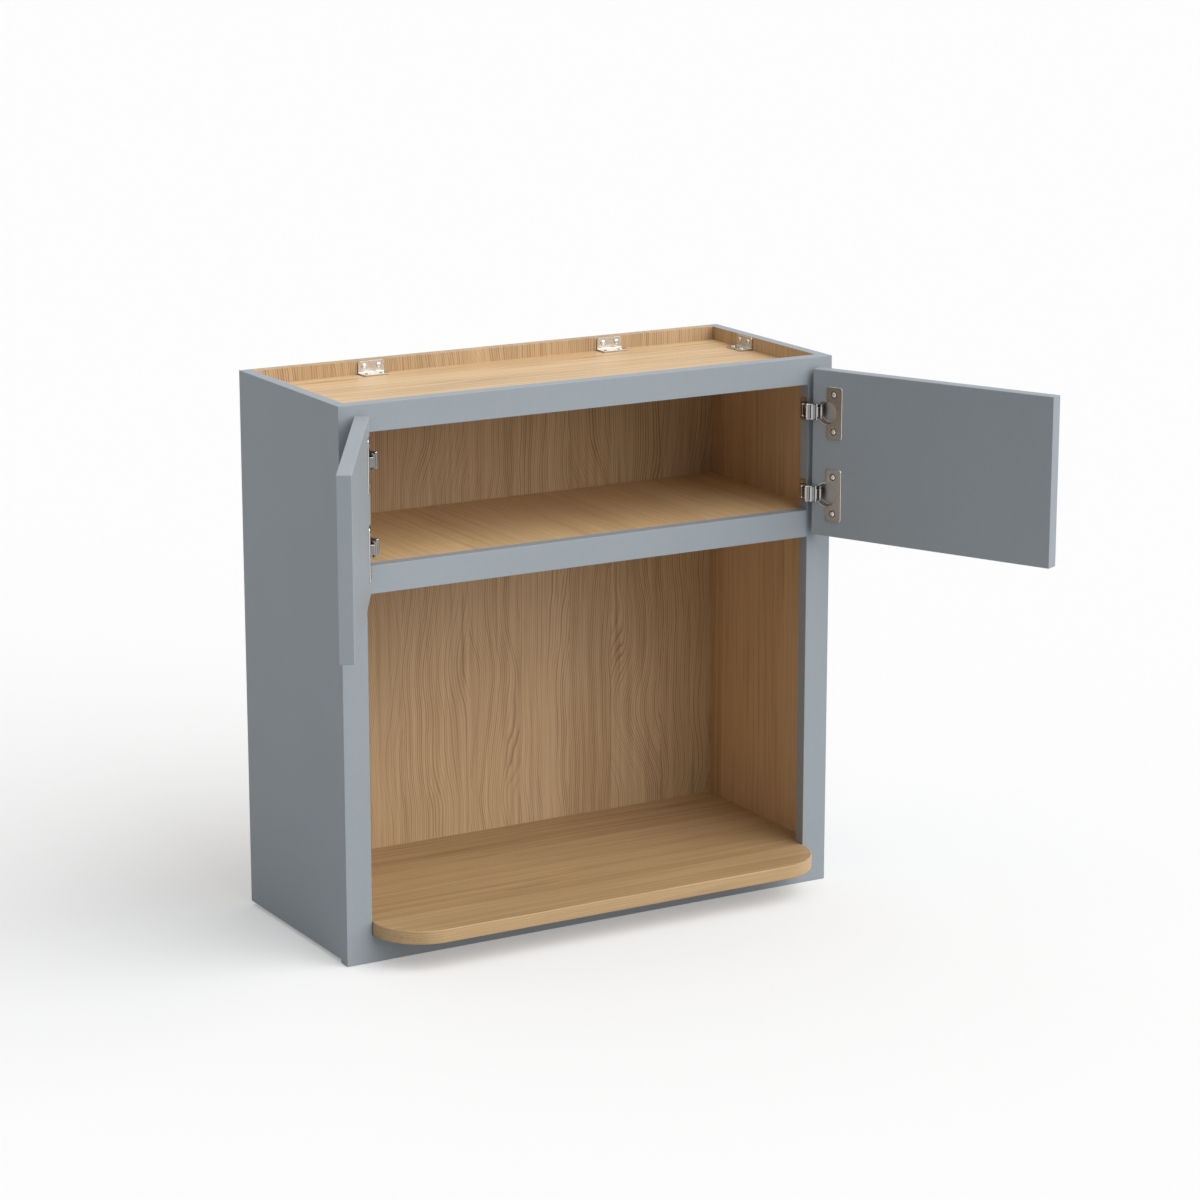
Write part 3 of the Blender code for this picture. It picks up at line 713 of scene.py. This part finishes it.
def build_face_frame():
    """Stiles and rails under one coat of paint, which hides their joints."""
    columns = [-HALF_WIDE, -INNER_STILE, INNER_STILE, HALF_WIDE]
    rows = [BOTTOM, BOTTOM_RAIL_TOP, MIDDLE_RAIL_LOW, MIDDLE_RAIL_TOP, TOP_RAIL_LOW, TOP]
    shape = lattice(columns, rows)

    def open_cell(middle):
        in_niche = BOTTOM_RAIL_TOP < middle.y < MIDDLE_RAIL_LOW
        in_cupboard = MIDDLE_RAIL_TOP < middle.y < TOP_RAIL_LOW
        return abs(middle.x) < INNER_STILE and (in_niche or in_cupboard)

    drop_cells(shape, open_cell)
    raise_sheet(shape, (0.0, 0.0, FRAME_BACK - FACE))
    moved(shape, Matrix.Translation((0.0, FRAME_BACK, 0.0)) @ UPRIGHT)

    def shows(first, last):
        middle = (first + last) / 2
        return middle.y < FRAME_BACK - WELD or abs(middle.x) < HALF_WIDE - WELD

    soften(shape, FRAME_EASE, chosen=shows)
    nodes = ["left_stile", "right_stile", "top_rail", "middle_rail", "bottom_rail"]
    add_piece("painted_face_frame", shape, [PAINT], "cabinet", "painted_wood", *nodes)


def build_side(hand, side):
    """A side board: paint outside and on its edges, veneer inside."""
    faces = sorted((side * INNER_SIDE, side * HALF_WIDE))
    shape = block((faces[0], FRAME_BACK, SIDE_LOW.z), (faces[1], SIDE_HIGH.y, SIDE_HIGH.z))
    for face in shape.faces:
        face.material_index = int(face.normal.x * side < -FLAT_ON)

    def shows(first, last):
        return (first.y + last.y) / 2 > FRAME_BACK + WELD

    soften(shape, BOARD_EASE, chosen=shows)
    finishes = [PAINT, SIDE_OAK]
    add_piece(f"{hand}_side_board", shape, finishes, "cabinet", "painted_wood", f"{hand}_side_panel")


def build_boards():
    """The back, the top under the recess and the cupboard's floor."""
    behind_frame = (FRAME_BACK, BACK_FRONT)
    boards = {
        "back_panel": (BACK_OAK, (BACK_FRONT, BACK_HIGH.y), (BACK_LOW.z, BACK_HIGH.z)),
        "top_panel": (TOP_OAK, behind_frame, (TOP_LOW.z, TOP_HIGH.z)),
        "cupboard_floor": (FLOOR_OAK, behind_frame, (FLOOR_LOW.z, FLOOR_HIGH.z)),
    }
    for node, (oak, depths, levels) in boards.items():
        shape = block((-INNER_SIDE, depths[0], levels[0]), (INNER_SIDE, depths[1], levels[1]))
        soften(shape, BOARD_EASE)
        add_piece(f"{node}_board", shape, [oak], "cabinet", "oak_veneer", node)


def build_shelf():
    """The microwave shelf: notched round the stiles, with round corners in front of the frame."""
    narrow = INNER_STILE - JOINT_GAP
    shape = lattice([-INNER_SIDE, -narrow, narrow, INNER_SIDE], [SHELF_LOW.y, FRAME_BACK, BACK_FRONT])
    drop_cells(shape, lambda middle: abs(middle.x) > narrow and middle.y < FRAME_BACK)
    corners = [(sign * narrow, SHELF_LOW.y) for sign in (-1, 1)]
    round_corners(shape, corners, SHELF_CORNER, SHELF_STEPS)
    raise_sheet(shape, (0.0, 0.0, SHELF_HIGH.z - SHELF_LOW.z))
    moved(shape, Matrix.Translation((0.0, 0.0, SHELF_LOW.z)))

    def front_rim(first, last):
        return abs(first.z - last.z) < WELD and max(first.y, last.y) < FACE

    soften(shape, SHELF_EASE, chosen=front_rim)
    for face in shape.faces:
        on_edge = face.calc_center_median().y < FACE and abs(face.normal.z) < SHELF_EDGE_SLOPE
        face.material_index = int(on_edge)
    finishes = [SHELF_OAK, EDGE_OAK]
    add_piece("microwave_shelf_board", shape, finishes, "cabinet", "oak_veneer", "microwave_shelf")


def screw_shape(head_high):
    """A wood screw with a domed head and a cross recess, its seat at zero and its point down."""
    rim = head_high * RIM_SHARE
    section = [(0.0, -SHANK_LENGTH), (SHANK_RADIUS, SHANK_TIP - SHANK_LENGTH), (SHANK_RADIUS, 0.0)]
    section += [(HEAD_RADIUS - HEAD_EDGE, 0.0), (HEAD_RADIUS, rim / 2), (HEAD_RADIUS, rim)]
    for i in range(1, CORNER_STEPS):
        turn = math.radians(90 * i / CORNER_STEPS)
        section.append((HEAD_RADIUS * math.cos(turn), rim + (head_high - rim) * math.sin(turn)))
    section.append((0.0, head_high))
    low, high = head_high * RECESS_SHARE, head_high + PAST
    across = block((-RECESS_REACH, -RECESS_WIDE / 2, low), (RECESS_REACH, RECESS_WIDE / 2, high))
    upright = block((-RECESS_WIDE / 2, -RECESS_REACH, low), (RECESS_WIDE / 2, RECESS_REACH, high))
    return combined(turned(section, SCREW_STEPS), ("DIFFERENCE", across), ("DIFFERENCE", upright))


def add_screw(node, prototype, finish, seat, axis, turn, body, placed):
    """Drives a screw so that its head sits at the seat and looks along the axis."""
    heading = Vector((0, 0, 1)).rotation_difference(Vector(axis)).to_matrix().to_4x4()
    spun = Matrix.Rotation(math.radians(turn), 4, "Z")
    shape = moved(prototype.copy(), placed @ Matrix.Translation(seat) @ heading @ spun)
    add_piece(f"{node}_cross_head", shape, [finish], body, "zinc_screw", node)


def build_bracket(node, corner, away, pan_screw):
    """A corner bracket of bent strip: one leg on the board behind it and a foot on the top panel."""
    thick = BRACKET_THICK
    section = [(BRACKET_FOOT, 0), (BRACKET_FOOT, thick), (thick, thick)]
    section += [(thick, BRACKET_LEG), (0, BRACKET_LEG), (0, 0)]
    shape = outline(section)
    round_corners(shape, [(0, 0)], BRACKET_BEND)
    round_corners(shape, [(thick, thick)], BRACKET_BEND - thick)
    raise_sheet(shape, (0.0, 0.0, BRACKET_WIDE))

    def plate_corner(first, last):
        on_leg = min(first.y, last.y) > BRACKET_LEG - WELD
        on_foot = min(first.x, last.x) > BRACKET_FOOT - WELD
        return abs(first.z - last.z) < WELD and (on_leg or on_foot)

    soften(shape, BRACKET_CORNER, CORNER_STEPS, plate_corner)
    soften(shape, BRACKET_EASE)
    heading = Matrix.Rotation(math.atan2(away[1], away[0]), 4, "Z")
    seat = Vector(corner) + SEAT_GAP * (Vector(away) + Vector((0, 0, 1)))
    placed = Matrix.Translation(seat) @ heading
    moved(shape, placed @ UPRIGHT @ Matrix.Translation((0.0, 0.0, -BRACKET_WIDE / 2)))
    add_piece(f"{node}_bent_strip", shape, [SATIN_NICKEL], "cabinet", "nickel_plate", node)
    halves = (-BRACKET_SCREW_HALF, BRACKET_SCREW_HALF)
    seats = [((thick, half, LEG_SCREW_UP), (1, 0, 0)) for half in halves]
    seats += [((FOOT_SCREW_OUT, half, thick), (0, 0, 1)) for half in halves]
    for number, (spot, axis) in enumerate(seats, 1):
        turn = RECESS_TURN * number
        add_screw(f"{node}_screw_{number}", pan_screw, ZINC, spot, axis, turn, "cabinet", placed)


def build_brackets(pan_screw):
    """Two brackets on the back and one on each side."""
    for hand, side in HANDS.items():
        on_back = (side * BRACKET_SPREAD / 2, BACK_FRONT, TOP_HIGH.z)
        build_bracket(f"back_{hand}_bracket", on_back, (0, -1, 0), pan_screw)
        on_side = (side * INNER_SIDE, -SIDE_BRACKET_FROM_WALL, TOP_HIGH.z)
        build_bracket(f"{hand}_bracket", on_side, (-side, 0, 0), pan_screw)


Swing = namedtuple("Swing", ["fixed", "moving", "links", "door"])


def shut_to_rest(hand):
    """The links' fixed pivot, the door's pivot when shut, and the matrices from shut to the open rest."""
    joints = {joint["name"]: joint for joint in frame["joints"]}
    link, door = joints[f"{hand}_link_swing"], joints[f"{hand}_door_swing"]
    couplings = frame["record"]["behaviour"]["couplings"]
    share = next(row["ratio"] for row in couplings if row["joint"] == link["name"])
    swing = math.radians(-door["range_deg"][0])

    def about(pivot, turn):
        middle = Matrix.Translation(pivot)
        return middle @ Matrix.Rotation(turn, 4, "Z") @ middle.inverted()

    fixed = Vector(link["pos_m"])
    links = about(fixed, swing * share * link["axis"][2])
    moving = links.inverted() @ Vector(door["pos_m"])
    return Swing(fixed, moving, links, links @ about(moving, swing * door["axis"][2]))


def cup_finish(spot, facing):
    """Which of the cup's finishes a face takes, by its middle and the way it looks. The countersinks take
    painted shade, the plate's eased rim and the lip a painted highlight.
    """
    from_screw = math.hypot(spot.x - CUP_SCREW_X, abs(spot.z) - CUP_SCREW_Z)
    # The countersink faces take near-black steel: painted shade in the recess
    if HEAD_RADIUS - WELD < from_screw < SINK_RADIUS and facing.y < FLAT_ON:
        return CUP_SINK_SHADE
    from_axis = math.hypot(spot.x, spot.z)
    if from_axis < CUP_RADIUS - CUP_WALL / 2 and spot.y < SEAT_GAP:
        return CUP_BOWL
    on_plate_rim = from_axis > CUP_RADIUS + CUP_LIP and SLANT_FROM < facing.y < FLAT_ON
    on_lip = spot.x < FLANGE_NEAR and spot.y > 0.0 and from_axis > CUP_RADIUS - CUP_WALL - WELD
    return CUP_HIGHLIGHT if on_plate_rim or on_lip else CUP_PLATE


def cup_shape():
    """A pressed cup with a thin lip, its screw plate, and the pin that the link turns on."""
    floor = -CUP_DEPTH
    lip = CUP_RADIUS + CUP_LIP
    lip_round = CUP_LIP_HIGH / 2
    outside = [(0.0, floor)]
    outside += arc((CUP_RADIUS - CUP_ROUND, floor + CUP_ROUND), CUP_ROUND, -90, 0)
    outside += [(CUP_RADIUS, SKIN), (lip, SKIN)]
    outside += arc((lip - lip_round, CUP_LIP_HIGH - lip_round), lip_round, 0, 90)
    outside.append((0.0, CUP_LIP_HIGH))
    inner = CUP_RADIUS - CUP_WALL
    inner_round = CUP_ROUND - CUP_WALL
    inside = [(0.0, floor + CUP_WALL)]
    inside += arc((inner - inner_round, floor + CUP_WALL + inner_round), inner_round, -90, 0)
    inside += [(inner, PAST), (0.0, PAST)]
    low = (FLANGE_NEAR, SEAT_GAP, -FLANGE_HALF_HIGH)
    flange = block(low, (FLANGE_FAR, SEAT_GAP + FLANGE_THICK, FLANGE_HALF_HIGH))
    soften(flange, FLANGE_CORNER, CORNER_STEPS, lambda first, last: abs(first.y - last.y) > SEAT_GAP)
    soften(flange, FLANGE_EASE, chosen=lambda first, last: min(first.y, last.y) > SEAT_GAP + WELD)
    top = SEAT_GAP + FLANGE_THICK
    rim = (HEAD_RADIUS, top + SKIN)
    sink = [rim, (SINK_RADIUS, top + SKIN), (HEAD_RADIUS, top - SINK_DEEP), rim]
    pin_half = math.sqrt((CUP_RADIUS - CUP_WALL / 2) ** 2 - (PIN_RADIUS - CUP_PIVOT_X) ** 2)
    pin = rod((CUP_PIVOT_X, CUP_PIVOT_Y, -pin_half), 2 * pin_half, PIN_RADIUS)
    steps = [("UNION", flange), ("DIFFERENCE", moved(turned(inside), FACING_BACK)), ("UNION", pin)]
    for level in (-CUP_SCREW_Z, CUP_SCREW_Z):
        around = Matrix.Translation((CUP_SCREW_X, 0.0, level)) @ FACING_BACK
        steps.append(("DIFFERENCE", moved(turned(sink, SCREW_STEPS), around)))
    cup = combined(moved(turned(outside), FACING_BACK), *steps)
    for face in cup.faces:
        face.material_index = cup_finish(face.calc_center_median(), face.normal)
    return cup


def strap_outline(points, thick):
    """The edge of a bent strap of even thickness along a line of points, with mitred bends."""
    line = [Vector(point) for point in points]
    steps = [(after - before).normalized() for before, after in zip(line, line[1:])]
    edges = []
    for i in range(len(line)):
        before, after = steps[max(i - 1, 0)], steps[min(i, len(steps) - 1)]
        across = Vector((-before.y, before.x)) + Vector((-after.y, after.x))
        edges.append(across * thick / across.length_squared)
    left = [tuple(point + edge) for point, edge in zip(line, edges)]
    right = [tuple(point - edge) for point, edge in zip(line, edges)]
    return left + right[::-1]


def upright_plate(points, low, high):
    """A plate with this outline seen from above, between two levels."""
    plate = raise_sheet(outline(points), (0.0, 0.0, high - low))
    return moved(plate, Matrix.Translation((0.0, 0.0, low)))


def arch_line():
    """The link's wide middle seen from above: a straight run with two folds pressed into it."""
    near, far = Vector(ARCH_NEAR), Vector(ARCH_FAR)
    run = far - near
    inward = Vector((-run.y, run.x)).normalized()
    folds = [near + run * share + inward * ARCH_FOLD * depth for share, depth in ARCH_FOLDS]
    return [near, *folds, far]


def arch_shape():
    """The folded plate in the middle of the link, narrowed at its waist."""
    arch = upright_plate(strap_outline(arch_line(), ARCH_THICK), -ARCH_HALF_HIGH, ARCH_HALF_HIGH)
    soften(arch, ARCH_EASE)
    near, far = Vector(ARCH_NEAR), Vector(ARCH_FAR)
    waist = strap_outline([near.lerp(far, share) for share in WAIST_SPAN], WAIST_CUT)
    top = ARCH_HALF_HIGH + PAST
    foot = ARCH_HALF_HIGH - WAIST_DEEP
    cuts = [upright_plate(waist, foot, top), upright_plate(waist, -top, -foot)]
    return combined(arch, *(("DIFFERENCE", cut) for cut in cuts))


def arch_front():
    """The room in front of the folded plate, which the strap behind it leaves free."""
    line = arch_line()
    front = strap_outline(line, ARCH_THICK - 2 * SKIN)[len(line):]
    run = line[-1] - line[0]
    outward = Vector((run.y, -run.x)).normalized() * ARCH_HALF_HIGH
    room = front + [tuple(Vector(front[-1]) + outward), tuple(Vector(front[0]) + outward)]
    return upright_plate(room, -ARCH_HALF_HIGH - PAST, ARCH_HALF_HIGH + PAST)


def link_finish(spot, facing):
    """Which of the link's finishes a face takes, by its middle and the way it looks: faces near the neck
    or looking away from the front take painted shade, slanted edges a painted highlight.
    """
    if spot.y > NECK[1]:
        return LINK_SHADED
    if SLANT_FROM < abs(facing.z) < FLAT_ON:
        return LINK_HIGHLIGHT
    return LINK_PLATE if facing.y < -LINK_FLAT_ON else LINK_SHADED


def link_shape(door_pivot):
    """The bent link round its fixed pivot: strap, collar, gusset, cheeks, folded plate and eyes."""
    line = [(0.0, 0.0), NECK, ARCH_NEAR, ARCH_FAR, door_pivot]
    edge = strap_outline(line, STRAP_THICK)
    bends = edge[1:len(line) - 1] + edge[len(line) + 1:-1]
    strap = outline(edge)
    round_corners(strap, bends, STRAP_BEND)
    raise_sheet(strap, (0.0, 0.0, 2 * STRAP_HALF_HIGH))
    soften(strap, LEAF_EASE)
    moved(strap, Matrix.Translation((0.0, 0.0, -STRAP_HALF_HIGH)))
    root = tuple(part * COLLAR_FROM for part in NECK)
    collar_edge = strap_outline([root, NECK, ARCH_NEAR], COLLAR_THICK)
    collar = soften(upright_plate(collar_edge, -COLLAR_HALF_HIGH, COLLAR_HALF_HIGH), LEAF_EASE)
    middle = sum((Vector(point) for point in CHEEK_EDGE), Vector((0.0, 0.0))) / len(CHEEK_EDGE)
    gusset_edge = [Vector(point).lerp(middle, GUSSET_SHRINK) for point in CHEEK_EDGE]
    gusset = upright_plate(gusset_edge, -CHEEK_LOW - SKIN, CHEEK_LOW + SKIN)
    steps = [("UNION", collar), ("UNION", gusset)]
    cheek_edge = arc((0.0, 0.0), CHEEK_ROUND, *CHEEK_ARC) + CHEEK_EDGE
    cheek_top = ARCH_HALF_HIGH - SKIN
    for low, high in ((CHEEK_LOW, cheek_top), (-cheek_top, -CHEEK_LOW)):
        steps.append(("UNION", upright_plate(cheek_edge, low, high)))
    steps += [("DIFFERENCE", arch_front()), ("UNION", arch_shape())]
    eye_half = STRAP_HALF_HIGH + SKIN
    bore_half = STRAP_HALF_HIGH + PAST
    pivots = (line[0], line[-1])
    for x, y in pivots:
        steps.append(("UNION", rod((x, y, -eye_half), 2 * eye_half, EYE_RADIUS)))
    for x, y in pivots:
        steps.append(("DIFFERENCE", rod((x, y, -bore_half), 2 * bore_half, PIN_RADIUS + SEAT_GAP)))
    link = combined(strap, *steps)
    for face in link.faces:
        face.material_index = link_finish(face.calc_center_median(), face.normal)
    return link


def leaf_shape(pivot):
    """The leaf on the right stile's edge, at level zero: a plate, two lugs and a riveted pin."""
    face = INNER_STILE - SEAT_GAP - LEAF_THICK
    front = FACE + LEAF_SETBACK
    plate = block((face, front, -LEAF_HALF_HIGH), (INNER_STILE - SKIN, front + LEAF_DEEP, LEAF_HALF_HIGH))
    soften(plate, LEAF_CORNER, CORNER_STEPS, lambda first, last: abs(first.x - last.x) > LEAF_THICK / 2)
    soften(plate, LEAF_EASE)
    steps = []
    root = face + LEAF_THICK / 2
    tip = pivot.x - EYE_RADIUS
    near, far = pivot.y - EYE_RADIUS, pivot.y + EYE_RADIUS
    for low in (LUG_FROM, -LUG_FROM - LUG_THICK):
        lug = outline([(root, near), (root, far), (tip, far), (tip, near)])
        round_corners(lug, [(tip, far), (tip, near)], EYE_RADIUS * LUG_ROUND_SHARE)
        raise_sheet(lug, (0.0, 0.0, LUG_THICK))
        soften(lug, LEAF_EASE)
        steps.append(("UNION", moved(lug, Matrix.Translation((0.0, 0.0, low)))))
    half = LUG_FROM + LUG_THICK + RIVET_HIGH
    steps.append(("UNION", rod((pivot.x, pivot.y, -half), 2 * half, PIN_RADIUS)))
    return combined(plate, *steps)


def door_shape(side, levels):
    """A slab with eased edges and a bore for each hinge cup, shut."""
    edges = sorted((side * HINGE_EDGE, side * CENTRE_GAP / 2))
    slab = block((edges[0], DOOR_INNER - DOOR_THICK, DOOR_LOW), (edges[1], DOOR_INNER, DOOR_HIGH))
    soften(slab, DOOR_EASE)
    depth, radius = CUP_DEPTH + SEAT_GAP, CUP_RADIUS + SEAT_GAP
    section = [(0.0, -depth), (radius, -depth), (radius, PAST), (0.0, PAST)]
    bores = []
    for level in levels:
        mouth = Matrix.Translation((side * (HINGE_EDGE - CUP_FROM_EDGE), DOOR_INNER, level))
        bores.append(("DIFFERENCE", moved(turned(section), mouth @ FACING_BACK)))
    return combined(slab, *bores)


def build_hinge(name, hand, side, level, swing, pan_screw, low_screw):
    """A hinge: the leaf on the stile, the link and the cup in the door, with their screws."""
    mirror = Matrix.Diagonal((side, 1.0, 1.0, 1.0))
    raised = Matrix.Translation((0.0, 0.0, level))
    leaf = moved(leaf_shape(mirror @ swing.fixed), raised @ mirror)
    add_piece(f"{name}_folded_leaf", leaf, [SATIN_NICKEL], "cabinet", "nickel_plate", f"{name}_leaf")
    seat = (side * (INNER_STILE - SEAT_GAP - LEAF_THICK), FACE + LEAF_SCREW_SETBACK, 0.0)
    axis = (-side, 0, 0)
    add_screw(f"{name}_leaf_screw", pan_screw, SATIN_NICKEL, seat, axis, RECESS_TURN, "cabinet", raised)

    reach = mirror @ (swing.moving - swing.fixed)
    on_leaf = swing.links @ raised @ Matrix.Translation(swing.fixed) @ mirror
    link = moved(link_shape((reach.x, reach.y)), on_leaf)
    body = f"{hand}_hinge_links"
    add_piece(f"{name}_bent_link", link, LINK_FINISHES, body, "nickel_plate", f"{name}_link")

    body = f"{hand}_door"
    middle = Matrix.Translation((side * (HINGE_EDGE - CUP_FROM_EDGE), DOOR_INNER, level))
    on_door = swing.door @ middle @ Matrix.Diagonal((-side, 1.0, 1.0, 1.0))
    cup = moved(cup_shape(), on_door)
    add_piece(f"{name}_pressed_cup", cup, CUP_FINISHES, body, "nickel_plate", f"{name}_cup")
    for number, offset in enumerate((-CUP_SCREW_Z, CUP_SCREW_Z), 1):
        seat = (CUP_SCREW_X, SEAT_GAP + FLANGE_THICK, offset)
        turn = RECESS_TURN * number
        node = f"{name}_cup_screw_{number}"
        add_screw(node, low_screw, ZINC, seat, (0, 1, 0), turn, body, on_door)


def build_door_set(hand, side, pan_screw, low_screw):
    """A door with its two hinges, made shut and then swung open on its pivots."""
    swing = shut_to_rest(hand)
    levels = {"lower": DOOR_LOW + HINGE_INSET, "upper": DOOR_HIGH - HINGE_INSET}
    body = f"{hand}_door"
    slab = moved(door_shape(side, levels.values()), swing.door)
    add_piece(f"{hand}_door_slab", slab, [PAINT], body, "painted_wood", body)
    for place, level in levels.items():
        build_hinge(f"{hand}_{place}_hinge", hand, side, level, swing, pan_screw, low_screw)


def build_cabinet():
    """All the pieces, with one prototype for each kind of screw."""
    pan_screw = screw_shape(PAN_HEAD)
    low_screw = screw_shape(LOW_HEAD)
    build_face_frame()
    build_boards()
    build_shelf()
    build_brackets(pan_screw)
    for hand, side in HANDS.items():
        build_side(hand, side)
        build_door_set(hand, side, pan_screw, low_screw)


def lay_floor():
    """A pale floor that looks white and keeps the shadow, but throws little light back at the cabinet."""
    finish = new_finish("pale_floor")
    lit, thrown = [
        finish.node("ShaderNodeBsdfDiffuse", None, {"Color": (grey, grey, grey, 1.0)})
        for grey in (FLOOR_SEEN, FLOOR_BOUNCE)
    ]
    plain = finish.node("ShaderNodeEmission", None, {"Strength": WHITE})
    seen = finish.node("ShaderNodeMixShader", None, {0: FLOOR_GLOW, 1: lit, 2: plain})
    both = finish.node("ShaderNodeMixShader", None, {0: finish.background_rays(), 1: thrown, 2: seen})
    finish.node("ShaderNodeOutputMaterial", None, {"Surface": both})
    shape = bmesh.new()
    level = Matrix.Translation((0.0, 0.0, BOTTOM - SEAT_GAP))
    bmesh.ops.create_grid(shape, x_segments=1, y_segments=1, size=FLOOR_REACH, matrix=level)
    mesh = bpy.data.meshes.new("floor")
    shape.to_mesh(mesh)
    shape.free()
    mesh.materials.append(finish.owner)
    floor = bpy.data.objects.new("floor", mesh)
    bpy.context.scene.collection.objects.link(floor)


def light_studio():
    """A broad soft lamp from the right, in front and above, under a sky that brightens overhead."""
    world = bpy.data.worlds.new("studio")
    bpy.context.scene.world = world
    finish = Finish(world)
    strengths = (SKY_LOW, SKY_HIGH, WHITE)
    low, high, plain = [
        finish.node("ShaderNodeBackground", None, {"Strength": strength, "Color": (1.0, 1.0, 1.0, 1.0)})
        for strength in strengths
    ]
    direction = finish.node("ShaderNodeTexCoord", output="Generated")
    rise = finish.node("ShaderNodeSeparateXYZ", None, {0: direction}, 2).held()
    sky = finish.node("ShaderNodeMixShader", None, {0: rise, 1: low, 2: high})
    both = finish.node("ShaderNodeMixShader", None, {0: finish.background_rays(), 1: sky, 2: plain})
    finish.node("ShaderNodeOutputWorld", None, {"Surface": both})
    lamp = bpy.data.lights.new("soft_lamp", "SUN")
    lamp.energy = SUN_STRENGTH
    lamp.angle = math.radians(SUN_SPREAD)
    sun = bpy.data.objects.new("soft_lamp", lamp)
    side, height = math.radians(SUN_FROM_RIGHT), math.radians(SUN_HEIGHT)
    level = math.cos(height)
    towards = Vector((math.sin(side) * level, -math.cos(side) * level, math.sin(height)))
    sun.rotation_euler = towards.to_track_quat("Z", "Y").to_euler()
    bpy.context.scene.collection.objects.link(sun)


def set_camera():
    """A long lens, in front, to the left and above, tilted down."""
    view = bpy.data.cameras.new("camera")
    view.lens = CAMERA_LENS
    camera = bpy.data.objects.new("camera", view)
    camera.location = CAMERA_PLACE
    camera.rotation_euler = (math.radians(90 - CAMERA_PITCH), 0.0, math.radians(-CAMERA_YAW))
    bpy.context.scene.collection.objects.link(camera)
    bpy.context.scene.camera = camera


build_cabinet()
lay_floor()
light_studio()
set_camera()
bpy.context.scene.view_settings.view_transform = "Standard"
